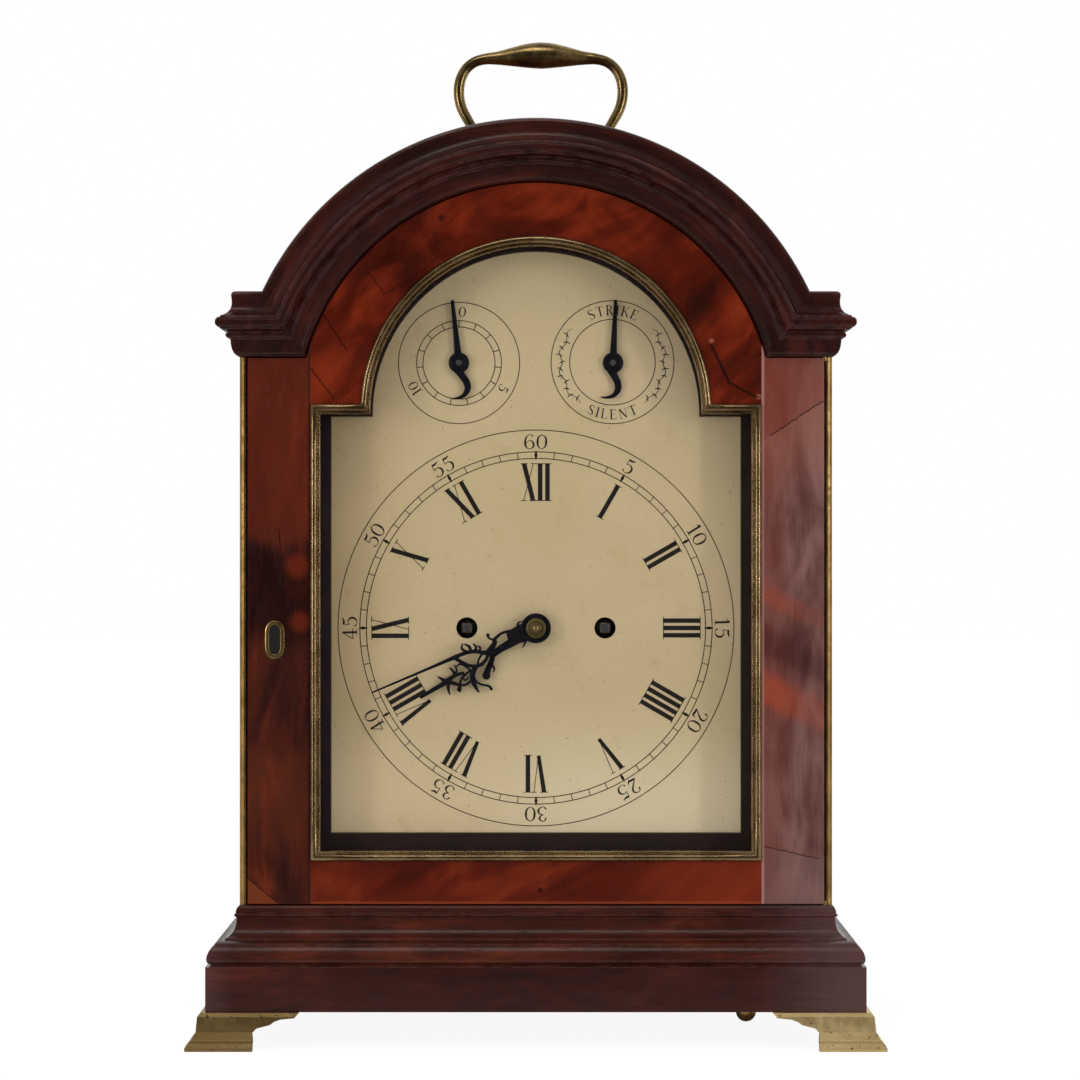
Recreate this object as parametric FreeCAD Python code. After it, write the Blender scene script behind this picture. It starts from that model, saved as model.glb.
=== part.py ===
import FreeCAD, Part
import math
import os

# Bracket clock with a break-arch case. Millimetres, +Z up, origin on the floor under the
# middle of the clock. X runs to the right as the dial is read, and the dial faces -Y.

# ---- case: widths, depths and heights ----
body_half = 137.0            # side of the case body from the centre line
door_front = -79.0           # plane of the closed front door
case_back = 97.4             # plane of the case's back edges
panel_thick = 12.0           # side panels
roof_thick = 11.0            # arched roof
roof_step = 2.2              # roof below the top edge of the arch moulding
feet_height = 16.9
plinth_height = 20.7
base_height = 26.9           # base moulding
door_height = 254.8          # base moulding to cornice
cornice_height = 30.5        # shoulders of the cornice
arch_drop = 29.8             # centre of the arch mouldings under the shoulder
arch_inset = 25.6            # inner radius of the arch moulding inside the body's side
arch_band = 29.4             # radial width of the arch moulding
frame_wall = 20.0            # rear timber of the plinth and base frames
wall_inset = 3.3             # hollow of the plinth inside the body's outline
board_thick = 12.0           # base board
seam = 0.3                   # clearance where moving timber meets fixed timber
fret_y = 20.0                # middle of the side windows
fret_half = 33.0
fret_rise = 63.6             # window sill over the base moulding
fret_height = 118.0          # sill to the springing of its arch
fret_thick = 1.2
fret_rebate = 4.0
fret_depth = 3.0             # rebate behind the window
fret_clear = 0.2
silk_thick = 0.8
rail_width = 16.0            # rails under the seat board
seat_thick = 8.0
seat_over = 1.0              # seat board behind and before the plates

# ---- front door ----
door_thick = 18.0
door_margin = 3.0            # door's edge inside the body's side
door_gap = 0.5               # above and below the door
arch_gap = 0.6               # round the door's arched head
stile_width = 29.1
rail_height = 19.9           # bottom rail
sight_drop = 21.9            # shoulders of the window under the door's top
sight_band = 29.7            # timber round the window's arch
sight_lift = 4.4             # centre of the window's arch over the door's
bezel_width = 4.6            # brass sight bezel
bezel_proud = 2.3
bezel_depth = 5.3
bezel_edge = 1.1             # timber side bevel of the bezel
glass_thick = 2.0
glass_clear = 0.2
bead_width = 3.1             # brass corner beads
bead_gap = 0.9               # door edge to bead
bead_back = 1.5              # bead behind the door's face
hinge_out = 0.45             # hinge axis beyond the door's edge
hinge_in = 1.0               # hinge axis behind the door's face
pin_radius = 1.0
pin_length = 6.0
pin_relief = 0.5             # hole past the end of a pin
fit = 0.05                   # running clearance of a turning pin
leaf_thick = 1.5
leaf_length = 24.0
leaf_inset = 0.6             # hinge plate behind the door's face
leaf_back = 6.0              # hinge plate in front of the door's back
keyhole_inset = 12.6         # keyhole from the door's edge
keyhole_rise = 123.2         # keyhole over the base moulding
keyhole_bow = 3.0
keyhole_slot = 1.6
escutcheon_thick = 0.8
lock_depth = 6.5
lock_length = 22.0
lock_height = 36.0
bolt_length = 12.4
bolt_height = 10.0
bolt_thick = 2.2
bolt_behind = 2.4            # bolt in front of the door's back
bolt_clear = 0.1

# ---- rear door ----
rear_thick = 13.0
rear_gap = 0.8
rear_arch_gap = 1.6          # round its arched head
rear_rail = 24.0
rear_round = 3.0             # rounding of the hinge edge, about the pins' axis
rear_leaf_depth = 7.0
rear_leaf_half = 3.0
rebate = 3.0                 # glass behind the rail
catch_inset = 13.0           # catch from the case side
catch_rise = 146.6           # catch over the base moulding
catch_length = 5.5
catch_shaft = 2.5
tongue_length = 17.0
tongue_half = 3.0
tongue_thick = 2.0
tongue_gap = 0.4             # tongue in front of the rear door

# ---- dial, hands and motion work ----
mask_thick = 4.5
mask_inset = 8.4             # mask's window inside the door's window
mask_rise = 31.8             # window of the mask over the base moulding
mask_drop = 27.0             # its shoulders under the cornice
mask_band = 4.7              # its arch inside the arch of the door's window
mask_lift = 3.6              # centre of its arch over the centre of the mouldings
dial_thick = 2.0
dial_border = 5.0            # dial hidden behind the mask
dial_rise = 128.2            # centre of the time ring over the base moulding
winding_x = 32.6
winding_hole = 5.05
winding_square = 4.4
subdial_x = 36.3
subdial_lift = 28.2          # sub-dials over the centre of the arch mouldings
minute_length = 83.2
hour_length = 63.6
minute_angle = 248.8         # clockwise from the top
hour_angle = 238.0
hand_thick = 0.8
hour_stand = 2.8             # hands in front of the dial
minute_stand = 6.0
subhand_stand = 2.0
pipe_radius = 2.5            # cannon pipe
pipe_wall = 1.4              # hour pipe
boss_radius = 7.4
dial_foot = 3.0              # radius of a dial foot

# ---- movement ----
plate_half = 74.0
plate_rise = 31.6            # plates over the base moulding
plate_above = 79.4           # top of the plates over the centre arbor
plate_thick = 3.0
dial_to_plate = 14.8         # room for the motion work
plate_room = 59.4            # between the plates
arbor = 1.5
fusee_arbor = 3.0
end_shake = 0.3              # arbor end to plate
wheel_thick = 2.0
escape_thick = 1.2
tooth_tip = 0.85             # tooth height over the pitch circle, in modules
tooth_root = 1.15            # tooth depth under the pitch circle, in modules
rim_width = 2.2
hub_radius = 4.8
pinion_over = 0.8            # pinion past its wheel on both sides
great_teeth = 60
centre_teeth = 56
third_teeth = 48
pin_teeth = 48
locking_teeth = 40
leaves = 8                   # pinions of both trains
cannon_teeth = 10
minute_teeth = 30
change_teeth = 8
hour_teeth = 32
centre_module = 0.72
third_module = 0.68
pin_module = 0.75
locking_module = 0.65
motion_module = 0.80
escape_teeth = 30
escape_radius = 14.5
anchor_height = 20.5         # anchor arbor over escape arbor
pallet_clear = 1.1           # pallets stand off the escape wheel
pallet_angle = 51.0
crutch_drop = 28.6           # crutch fork under the centre arbor
fork_gap = 0.35              # fork to pendulum rod
pendulum_y = 42.0
rod_half = 1.6               # half the width of the pendulum rod
rod_thick = 2.0
bob_drop = 84.6              # bob under the centre arbor
bob_radius = 26.0
bob_thick = 9.0
cone_small = 12.0            # fusee radius at its small end
cone_large = 23.5
barrel_x = 51.0
barrel_drop = 48.6           # barrels under the centre arbor
barrel_radius = 20.0
barrel_length = 38.0
centre_layer = 2.0           # wheels behind the front plate
third_layer = 7.0
locking_layer = 5.5
pin_layer = 11.0
cone_layer = 15.5            # fusee cones and spring barrels
going_great_layer = 46.0
strike_great_layer = 50.0
escape_layer = 53.5
fly_layer = 16.0
fly_length = 28.0
fly_half = 11.5
fly_thick = 1.0
rod_under = 8.0              # pendulum rod below its bob
third_turn = 80.0            # bearings between arbors, in degrees
pin_turn = 75.0
locking_turn = 110.0
fly_turn = 150.0
change_turn = -60.0
hammer_x = -58.0
hammer_rise = 38.4           # hammer arbor over the centre arbor
hammer_gap = 1.5             # hammer to bell
lift_radius = 15.0           # circle of the lifting pins
bell_radius = 42.0
bell_height = 38.0
bell_over = 24.0             # rim of the bell over the plates
bell_y = -2.0
pillar_x = 64.0
pillar_inset = 12.0          # pillars inside the plates' top and bottom edges
foot_x = 62.0                # dial feet
foot_spread = 146.0          # between the lower and the upper dial feet

# ---- handle ----
handle_y = 22.0
handle_height = 6.5          # pivots over the crown of the roof
handle_post_x = 24.5
handle_reach = 41.7          # half the bail's width, on its middle line
handle_rise = 39.9           # pivot to the middle of the grip
handle_rod = 2.3
handle_grip = 6.6
handle_pin = 2.0
post_shank = 2.5

# ---- feet and repeat knob ----
foot_wall = 4.0
knob_inset = 37.4            # knob inside the body's side
knob_y = -48.0
knob_radius = 4.75
knob_z = 10.6
knob_travel = 5.0
knob_wire = 1.2

# ---- planes and places worked out from the sizes above ----
plinth_top = feet_height + plinth_height
base_top = plinth_top + base_height
shoulder_z = base_top + door_height
arch_z = shoulder_z - arch_drop
inner_half = body_half - panel_thick
arch_inner = body_half - arch_inset
roof_outer = arch_inner + arch_band - roof_step
roof_inner = roof_outer - roof_thick
roof_top = shoulder_z + cornice_height
roof_shoulder_in = roof_top - roof_thick
door_back = door_front + door_thick
door_half = body_half - door_margin
case_front = door_back + seam
sight_half = door_half - stile_width
sight_bottom = base_top + door_gap + rail_height
sight_shoulder = shoulder_z - sight_drop
sight_radius = arch_inner - sight_band
sight_arch_z = arch_z + sight_lift
hinge_x = door_half + hinge_out
hinge_y = door_front + hinge_in
keyhole_x = -door_half + keyhole_inset
keyhole_z = base_top + keyhole_rise
bolt_y1 = door_back - bolt_behind
bolt_y0 = bolt_y1 - bolt_thick
bolt_z0 = keyhole_z - bolt_height / 2
bolt_z1 = keyhole_z + bolt_height / 2
mask_back = case_front + mask_thick
mask_half = sight_half - mask_inset
mask_bottom = base_top + mask_rise
mask_shoulder = shoulder_z - mask_drop
mask_radius = sight_radius - mask_band
mask_arch_z = arch_z + mask_lift
dial_front = mask_back
dial_back = dial_front + dial_thick
dial_z = base_top + dial_rise
subdial_z = arch_z + subdial_lift
hour_y = dial_front - hour_stand
minute_y = dial_front - minute_stand
subhand_y = dial_front - subhand_stand
plate_front = dial_back + dial_to_plate
room_front = plate_front + plate_thick
room_back = room_front + plate_room
plate_rear = room_back + plate_thick
plate_bottom = base_top + plate_rise
plate_top = dial_z + plate_above
barrel_z = dial_z - barrel_drop
crutch_z = dial_z - crutch_drop
bob_z = dial_z - bob_drop
bell_rim_z = plate_top + bell_over
hammer_at = (hammer_x, dial_z + hammer_rise)
low_pillar_z = plate_bottom + pillar_inset
high_pillar_z = plate_top - pillar_inset
pillar_places = [(s * pillar_x, z) for s in (1, -1) for z in (low_pillar_z, high_pillar_z)]
pillar_places.append((0.0, low_pillar_z))
dial_feet = [(s * foot_x, low_pillar_z + h) for s in (1, -1) for h in (0.0, foot_spread)]
fret_bottom = base_top + fret_rise
fret_spring = fret_bottom + fret_height
rear_half = inner_half - rear_gap
rear_axis_x = rear_half - rear_round
rear_axis_y = case_back - rear_round
rear_front = case_back - rear_thick
catch_x = -inner_half + catch_inset
catch_z = base_top + catch_rise
tongue_y = rear_front - tongue_gap - tongue_thick
handle_z = arch_z + roof_outer + handle_height
knob_x = body_half - knob_inset

# Mouldings as (projection from the case body, height over the lower edge), top down.
base_profile = [
    (0.5, base_height), (1.8, 25.9), (2.6, 23.8), (2.9, 20.6), (2.4, 18.8), (2.5, 16.4),
    (3.6, 13.3), (5.8, 11.0), (9.6, 10.3), (11.3, 9.9), (13.3, 7.2), (14.5, 4.4),
    (14.8, 2.8), (14.2, 1.3), (13.5, 0.0),
]
plinth_projection = 15.2
cornice_profile = [
    (1.5, cornice_height), (4.2, 29.0), (5.4, 26.3), (4.9, 22.9), (6.6, 20.6), (9.9, 18.0),
    (11.2, 15.1), (9.6, 12.8), (8.2, 11.4), (5.5, 9.4), (4.5, 7.1), (4.3, 4.9),
    (3.6, 2.2), (2.4, 0.7), (0.7, 0.0),
]
foot_profile = [
    (17.0, feet_height), (18.6, 15.2), (19.0, 11.0), (19.2, 8.4), (21.1, 4.8), (22.9, 3.3),
    (23.9, 1.5), (23.9, 0.0),
]
# Scalloped edge of a foot's wings as (distance from the corner, height).
foot_scallop = [
    (0, 0), (31.0, 0), (31.0, 4.4), (30.5, 7.6), (32.6, 9.9), (38.7, 11.5), (40.8, 13.0),
    (43.7, 14.0), (50.0, 14.6), (52.0, feet_height), (0, feet_height),
]

# Right halves of the hands as (half width, distance from the arbor), hand upright.
minute_outline = [
    (3.6, 5), (4.8, 10), (4.0, 17), (2.2, 21), (3.6, 25), (4.2, 29), (3.0, 34), (1.3, 38),
    (0.9, minute_length - 1),
]
minute_eye = [(0, 24.5), (2.2, 29), (0, 33), (-2.2, 29)]
hour_outline = [
    (2.6, 5), (3.0, 12), (2.0, 18), (7.5, 22), (8.5, 28), (4.0, 30), (7.0, 34), (7.5, 38),
    (3.0, 40), (5.5, 44), (3.6, 47), (1.5, 50), (2.6, 54),
]
hour_eye = [(2.2, 22), (6.0, 24), (5.6, 27), (2.0, 27.5)]
subhand_outline = [
    (-2.2, 3), (-2.9, 8), (-1.2, 11), (-0.9, 22), (0, 29.6), (0.9, 22), (1.2, 11),
    (2.9, 8), (2.2, 3), (3.0, -8), (5.6, -13), (4.6, -17.5), (-0.5, -19.2),
    (-5.0, -17.0), (-4.4, -16.0), (0.0, -17.2), (2.2, -15.0), (1.0, -11), (-2.6, -4),
]
# Bell as shares of its radius and height, from the rim up.
bell_rings = [(1.0, 0.0), (0.94, 0.14), (0.86, 0.45), (0.66, 0.78), (0.36, 0.96), (0.12, 1.0)]
bell_wall = 2.6


far = 1000.0                 # past every side of the clock


def vec(x, y, z):
    return FreeCAD.Vector(x, y, z)


def box(x0, x1, y0, y1, z0, z1):
    return Part.makeBox(x1 - x0, y1 - y0, z1 - z0, vec(x0, y0, z0))


def rod(radius, start, end):
    return Part.makeCylinder(radius, (end - start).Length, start, end - start)


def rod_y(radius, x, z, y0, y1):
    return rod(radius, vec(x, y0, z), vec(x, y1, z))


def shaft_y(radius, x, z, y0, y1, sides=10):
    """Many-sided rod along Y, for a shaft or hole in which nothing turns."""
    return turned([(radius, y0), (radius, y1)], sides, vec(x, 0, z))


def shaft_z(radius, x, y, z0, z1, sides=12):
    return turned([(radius, z0), (radius, z1)], sides, vec(x, y, 0), "z")


def face_of(points):
    return Part.Face(Part.makePolygon(points + [points[0]]))


def prism_y(points, y0, y1):
    """Outline of (x, z) points drawn along Y."""
    return face_of([vec(x, y0, z) for x, z in points]).extrude(vec(0, y1 - y0, 0))


def prism_x(points, x0, x1):
    """Outline of (y, z) points drawn along X."""
    return face_of([vec(x0, y, z) for y, z in points]).extrude(vec(x1 - x0, 0, 0))


def prism_z(points, z0, z1):
    """Outline of (x, y) points drawn along Z."""
    return face_of([vec(x, y, z0) for x, y in points]).extrude(vec(0, 0, z1 - z0))


def join(first, *others):
    return first.fuse(list(others)).removeSplitter()


def both_sides(shape):
    """The shape and its mirror image across the clock's middle plane."""
    return [shape, shape.mirror(vec(0, 0, 0), vec(1, 0, 0))]


def arch_face(half, bottom, shoulder, radius, centre_z, y):
    """Rectangle with square shoulders and a round arch, in the plane y."""
    spring = math.sqrt(radius ** 2 - (shoulder - centre_z) ** 2)
    corners = [(-spring, shoulder), (-half, shoulder), (-half, bottom),
               (half, bottom), (half, shoulder), (spring, shoulder)]
    points = [vec(x, y, z) for x, z in corners]
    edges = [Part.LineSegment(a, b).toShape() for a, b in zip(points, points[1:])]
    crown = Part.Arc(points[-1], vec(0, y, centre_z + radius), points[0]).toShape()
    return Part.Face(Part.Wire(edges + [crown]))


def arch_block(half, bottom, shoulder, radius, centre_z, y0, y1):
    return arch_face(half, bottom, shoulder, radius, centre_z, y0).extrude(vec(0, y1 - y0, 0))


def ringed(rings, flat=True):
    """Solid through rings of points with flat ends. Twisted sides are split in triangles."""
    faces = [face_of(rings[0]), face_of(rings[-1])]
    for a, b in zip(rings, rings[1:]):
        for i in range(len(a)):
            j = (i + 1) % len(a)
            if flat:
                faces.append(face_of([a[i], a[j], b[j], b[i]]))
            else:
                faces.append(face_of([a[i], a[j], b[j]]))
                faces.append(face_of([a[i], b[j], b[i]]))
    shell = Part.makeShell(faces)
    shell.sewShape()
    solid = Part.makeSolid(shell)
    if solid.Volume < 0:
        solid.reverse()
    return solid


def turned(profile, sides, centre, axis="y", phase=0.0):
    """Faceted turning: profile is (radius, position along the axis), ends closed."""
    rings = []
    for radius, along in profile:
        points = []
        for i in range(sides):
            a = phase + 2 * math.pi * i / sides
            u = radius * math.cos(a)
            v = radius * math.sin(a)
            offsets = {"x": (along, u, v), "y": (u, along, v), "z": (u, v, along)}
            points.append(centre + vec(*offsets[axis]))
        rings.append(points)
    return ringed(rings)


def moulded_block(profile, base_z, back):
    """Block whose front and two sides carry a moulding, mitred at the front corners."""
    top = base_z + profile[0][1]
    bottom = base_z + profile[-1][1]
    right = [(body_half + p, base_z + z) for p, z in profile]
    left = [(-x, z) for x, z in reversed(right)]
    across = prism_y(right + left, -far, back)
    nose = [(door_front - p, base_z + z) for p, z in profile]
    along = prism_x(nose + [(back, bottom), (back, top)], -far, far)
    return across.common(along)


# ---- case ----

def hollow(z0, z1):
    """Room inside the plinth and base moulding."""
    half = body_half - wall_inset
    return box(-half, half, door_front + wall_inset, case_back - frame_wall, z0, z1)


def base_moulding():
    moulding = moulded_block(base_profile, plinth_top, case_back).cut(hollow(0, base_top + 1))
    for x, y in ((hinge_x, hinge_y), (rear_axis_x, rear_axis_y)):
        moulding = moulding.cut(pivot_hole(x, y, base_top - pin_length - pin_relief, base_top + 1))
    return moulding


def plinth_frame():
    side = body_half + plinth_projection
    plinth = box(-side, side, door_front - plinth_projection, case_back,
                 feet_height, plinth_top)
    return plinth.cut(hollow(0, plinth_top + 1))


def pivot_hole(x, y, z0, z1):
    return rod(pin_radius + fit, vec(x, y, z0), vec(x, y, z1))


def base_board():
    board = hollow(base_top - board_thick, base_top)
    wire = rod(knob_wire + fit, vec(knob_x, knob_y, 0), vec(knob_x, knob_y, base_top + 1))
    return board.cut(wire)


def foot(sign_x, rear):
    """Cast brass bracket foot: two moulded wings with scalloped lower edges."""
    w = [(body_half + p, z) for p, z in foot_profile]
    block = prism_y([(0, feet_height)] + w + [(0, 0)], -far, far)
    if rear:
        outer = box(0, far, 0, case_back, 0, feet_height)
        slab = box(0, far, case_back - foot_wall, case_back, 0, feet_height)
    else:
        nose = [(door_front - p, z) for p, z in foot_profile]
        outer = prism_x([(0, feet_height)] + nose + [(0, 0)], 0, far)
        inner = [(y + foot_wall, z) for y, z in nose]
        slab = outer.cut(prism_x([(0, feet_height)] + inner + [(0, 0)], 0, far))
    inner = [(x - foot_wall, z) for x, z in w]
    side = block.cut(prism_y([(0, feet_height)] + inner + [(0, 0)], -far, far)).common(outer)
    corner = body_half + foot_profile[-1][0]
    front_wing = slab.common(block).common(
        prism_y([(corner - u, z) for u, z in foot_scallop], -far, far))
    if rear:
        outline = [(case_back - u, z) for u, z in foot_scallop]
    else:
        outline = [(door_front - foot_profile[-1][0] + u, z) for u, z in foot_scallop]
    side_wing = side.common(prism_x(outline, 0, far))
    shape = join(front_wing, side_wing)
    return shape if sign_x > 0 else shape.mirror(vec(0, 0, 0), vec(1, 0, 0))


def bracket_feet():
    return Part.makeCompound([foot(s, rear) for s in (1, -1) for rear in (False, True)])


def side_window(grow, x0, x1):
    """Arched window of the case side, seen along X."""
    y = fret_y
    h = fret_half + grow
    b = fret_bottom - grow
    points = [vec(x0, y - h, fret_spring), vec(x0, y - h, b),
              vec(x0, y + h, b), vec(x0, y + h, fret_spring)]
    edges = [Part.LineSegment(p, q).toShape() for p, q in zip(points, points[1:])]
    edges.append(Part.Arc(points[-1], vec(x0, y, fret_spring + h), points[0]).toShape())
    return Part.Face(Part.Wire(edges)).extrude(vec(x1 - x0, 0, 0))


def side_panel():
    panel = box(inner_half, body_half, case_front, case_back, base_top, shoulder_z)
    panel = panel.cut(side_window(0.0, inner_half - 1, body_half + 1))
    return panel.cut(side_window(fret_rebate, inner_half - 1, inner_half + fret_depth))


def left_panel():
    """Left side panel with the mortise that takes the rear catch."""
    panel = side_panel().mirror(vec(0, 0, 0), vec(1, 0, 0))
    y0 = tongue_y
    mortise = box(catch_x - tongue_length - 1.0, -inner_half + 1,
                  y0 - seam, y0 + tongue_thick + seam, catch_z - 13.0, catch_z + 4.0)
    return panel.cut(mortise)


def side_fret():
    x = inner_half + fret_depth - fret_thick
    return side_window(fret_rebate - fret_clear, x, x + fret_thick)


def side_silk():
    x = inner_half + fret_depth - fret_thick
    return side_window(fret_rebate - fret_clear, x - silk_thick, x)


def roof():
    """Arched roof with square shoulders, in one section from front to back."""
    outer = arch_block(body_half, shoulder_z, roof_top, roof_outer, arch_z, case_front, case_back)
    inner = arch_block(inner_half, shoulder_z - 1, roof_shoulder_in, roof_inner, arch_z,
                       case_front - 1, case_back + 1)
    shell = outer.cut(inner)
    shell = shell.cut(pivot_hole(rear_axis_x, rear_axis_y, roof_shoulder_in - 1,
                                 roof_shoulder_in + pin_length + pin_relief))
    for x in (handle_post_x, -handle_post_x):
        shell = shell.cut(shaft_z(post_shank, x, handle_y, arch_z, roof_top + 200))
    return shell


def cornice_block():
    return moulded_block(cornice_profile, shoulder_z, case_back)


def mitre_corner():
    """Inner corner of the mitre between arch and shoulder, and its outer corner."""
    inner = math.sqrt(arch_inner ** 2 - (shoulder_z - arch_z) ** 2)
    outer_radius = arch_inner + arch_band
    outer = math.sqrt(outer_radius ** 2 - (roof_top - arch_z) ** 2)
    return inner, outer


def front_cornice():
    inner, outer = mitre_corner()
    far_x = inner + (outer - inner) / cornice_height * (far - shoulder_z)
    over = prism_y([(-inner, shoulder_z), (inner, shoulder_z), (far_x, far), (-far_x, far)],
                   -far, case_front)
    beside = prism_y([(inner, shoulder_z), (far_x, far), (far_x, shoulder_z)],
                     -far, case_front)
    stretch = arch_band / cornice_height
    section = [vec(arch_inner + z * stretch, door_front - p, arch_z) for p, z in cornice_profile]
    section.append(vec(arch_inner, case_front, arch_z))
    section.append(vec(arch_inner + arch_band, case_front, arch_z))
    arch = face_of(section).revolve(vec(0, 0, arch_z), vec(0, -1, 0), 180).common(over)
    block = cornice_block()
    shoulders = [block.common(side) for side in both_sides(beside)]
    shape = join(arch, *shoulders)
    return shape.cut(pivot_hole(hinge_x, hinge_y, shoulder_z - 1,
                                shoulder_z + pin_length + pin_relief))


def side_cornices():
    strip = box(body_half, far, case_front, case_back, shoulder_z - 1, roof_top + 1)
    piece = cornice_block().common(strip)
    return Part.makeCompound(both_sides(piece))


def corner_bead(bolt_side):
    """Brass strip at the case corner with a rounded front edge."""
    x0 = door_half + bead_gap
    x1 = x0 + bead_width
    y0 = door_front + bead_back
    r = bead_width * 0.7
    arc = [(x1 - r + r * math.sin(a), y0 + r - r * math.cos(a))
           for a in (0, math.pi / 6, math.pi / 3, math.pi / 2)]
    bead = prism_z([(x0, y0)] + arc + [(x1, case_front), (x0, case_front)], base_top, shoulder_z)
    if not bolt_side:
        room = door_gap + leaf_thick + seam
        bead = bead.cut(pin_room(seam, base_top - 1, base_top + room))
        return bead.cut(pin_room(seam, shoulder_z - room, shoulder_z + 1))
    bead = bead.mirror(vec(0, 0, 0), vec(1, 0, 0))
    slot = box(-x1 + 0.8, -x0 + 1, bolt_y0 - 0.4, bolt_y1 + 0.4, bolt_z0 - 0.5, bolt_z1 + 0.5)
    return bead.cut(slot)


def dial_mask():
    outer = arch_block(inner_half, base_top, roof_shoulder_in, roof_inner, arch_z,
                       case_front, mask_back)
    window = arch_block(mask_half, mask_bottom, mask_shoulder, mask_radius, mask_arch_z,
                        case_front - 1, mask_back + 1)
    return outer.cut(window)


def seat():
    front = plate_front - seat_over
    rear = plate_rear + seat_over
    board = box(-inner_half, inner_half, front, rear, plate_bottom - seat_thick, plate_bottom)
    rails = both_sides(box(inner_half - rail_width, inner_half, front, rear,
                           base_top, plate_bottom - seat_thick))
    return Part.makeCompound([board] + rails)


# ---- front door ----

def door_blank():
    return arch_block(door_half, base_top + door_gap, shoulder_z - door_gap,
                      arch_inner - arch_gap, arch_z, door_front, door_back)


def sight_block(inset, y0, y1):
    """Outline of the door's window, drawn in by inset."""
    return arch_block(sight_half - inset, sight_bottom + inset, sight_shoulder - inset,
                      sight_radius - inset, sight_arch_z, y0, y1)


def lock_block(x0, y1):
    """Outline of the lock case, from x0 and back to y1."""
    return box(x0, -door_half + lock_length, door_back - lock_depth, y1,
               keyhole_z - lock_height / 2, keyhole_z + lock_height / 2)


def keyhole(y0, y1):
    bow = shaft_y(keyhole_bow, keyhole_x, keyhole_z + 5.0, y0, y1, 14)
    web = box(keyhole_x - keyhole_slot, keyhole_x + keyhole_slot, y0, y1,
              keyhole_z - 6.0, keyhole_z + 5.0)
    return bow.fuse(web)


def hinge_seat(z_low, z_high):
    """Room for a hinge plate and its pin in the door's edge."""
    x = door_half
    seat_box = box(x - leaf_length, x + 1, door_front + leaf_inset, door_back - leaf_back,
                   z_low, z_high)
    return seat_box.fuse(pin_room(fit, z_low, z_high))


def pin_room(clear, z_low, z_high):
    return rod(pin_radius + clear, vec(hinge_x, hinge_y, z_low), vec(hinge_x, hinge_y, z_high))


def door_timbers():
    frame = door_blank().cut(sight_block(0.0, door_front - 1, door_back + 1))
    top = shoulder_z - door_gap
    bottom = base_top + door_gap
    frame = frame.cut(hinge_seat(top - leaf_thick, top + 1))
    frame = frame.cut(hinge_seat(bottom - 1, bottom + leaf_thick))
    frame = frame.cut(lock_block(-door_half - 1, door_back + 1))
    frame = frame.cut(keyhole(door_front - 1, door_back))
    split = sight_half
    middle = (sight_bottom + sight_shoulder) / 2
    left = frame.common(box(-far, -split, -far, far, 0, far))
    right = frame.common(box(split, far, -far, far, 0, far))
    rail = frame.common(box(-split, split, -far, far, 0, middle))
    head = frame.common(box(-split, split, -far, far, middle, far))
    return left, right, rail, head


def door_bezel():
    y0 = door_front - bezel_proud
    y1 = y0 + bezel_depth
    ring = sight_block(0.0, door_front, y1).cut(sight_block(bezel_width, door_front - 1, y1 + 1))
    crown = sight_block(bezel_edge, y0, door_front).cut(
        sight_block(bezel_width - bezel_edge, y0 - 1, door_front + 1))
    return join(ring, crown)


def door_glass():
    y0 = door_front - bezel_proud + bezel_depth
    return sight_block(glass_clear, y0, y0 + glass_thick)


def hinge_leaf(z, up):
    """Knife hinge: a plate let into the door's edge with a pin on the hinge axis."""
    y1 = door_back - leaf_back
    plate = box(door_half - leaf_length, door_half - 0.2, door_front + leaf_inset, y1,
                z, z + leaf_thick)
    eye_x = hinge_x - 0.6
    eye_y = hinge_y + 1.2
    eye = shaft_z(1.6, eye_x, eye_y, z, z + leaf_thick)
    eye = eye.common(box(0, door_half, door_front, 0, 0, far))
    start = z if up else z + leaf_thick
    end = z + leaf_thick + pin_length if up else z - pin_length
    pin = rod(pin_radius, vec(hinge_x, hinge_y, start), vec(hinge_x, hinge_y, end))
    return join(plate, eye, pin)


def door_hinges():
    top = shoulder_z - door_gap - leaf_thick
    bottom = base_top + door_gap
    return Part.makeCompound([hinge_leaf(top, True), hinge_leaf(bottom, False)])


def escutcheon():
    y0 = door_front - escutcheon_thick
    outer = shaft_y(5.2, keyhole_x, keyhole_z + 4.0, y0, door_front, 18)
    tail = shaft_y(4.4, keyhole_x, keyhole_z - 4.4, y0, door_front, 16)
    waist = box(keyhole_x - 3.3, keyhole_x + 3.3, y0, door_front, keyhole_z - 5, keyhole_z + 4)
    return join(outer, tail, waist).cut(keyhole(y0 - 1, door_front + 1))


def door_lock():
    case = lock_block(-door_half, door_back)
    race = box(-door_half - 1, -door_half + bolt_length + 2.6, bolt_y0 - bolt_clear, bolt_y1 + bolt_clear,
               bolt_z0 - bolt_clear, bolt_z1 + bolt_clear)
    hole = keyhole(door_back - lock_depth - 1, bolt_y0 + 1)
    return case.cut(race).cut(hole)


def lock_bolt():
    x0 = -door_half + 0.2
    return box(x0, x0 + bolt_length, bolt_y0, bolt_y1, bolt_z0, bolt_z1)


# ---- rear door ----

def rear_door():
    outer = arch_block(rear_half, base_top + rear_gap, roof_shoulder_in - rear_gap,
                       roof_inner - rear_arch_gap, arch_z, rear_front, case_back)
    light = rear_light(0.0, rear_front - 1, case_back + 1)
    bed = rear_light(rebate, rear_front - 1, rear_front + glass_thick + 2)
    frame = outer.cut(light).cut(bed).cut(rear_edge())
    for low, high in rear_leaf_levels():
        frame = frame.cut(rear_leaf(low, high))
    return frame.cut(rod_y(catch_shaft + fit, catch_x, catch_z, rear_front - 1, case_back + 1))


def rear_edge():
    """What is taken off the hinge edge so that it turns past the case side."""
    corner = box(rear_axis_x, far, rear_axis_y, far, 0, far)
    return corner.cut(rod(rear_round, vec(rear_axis_x, rear_axis_y, -1),
                          vec(rear_axis_x, rear_axis_y, far)))


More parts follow.
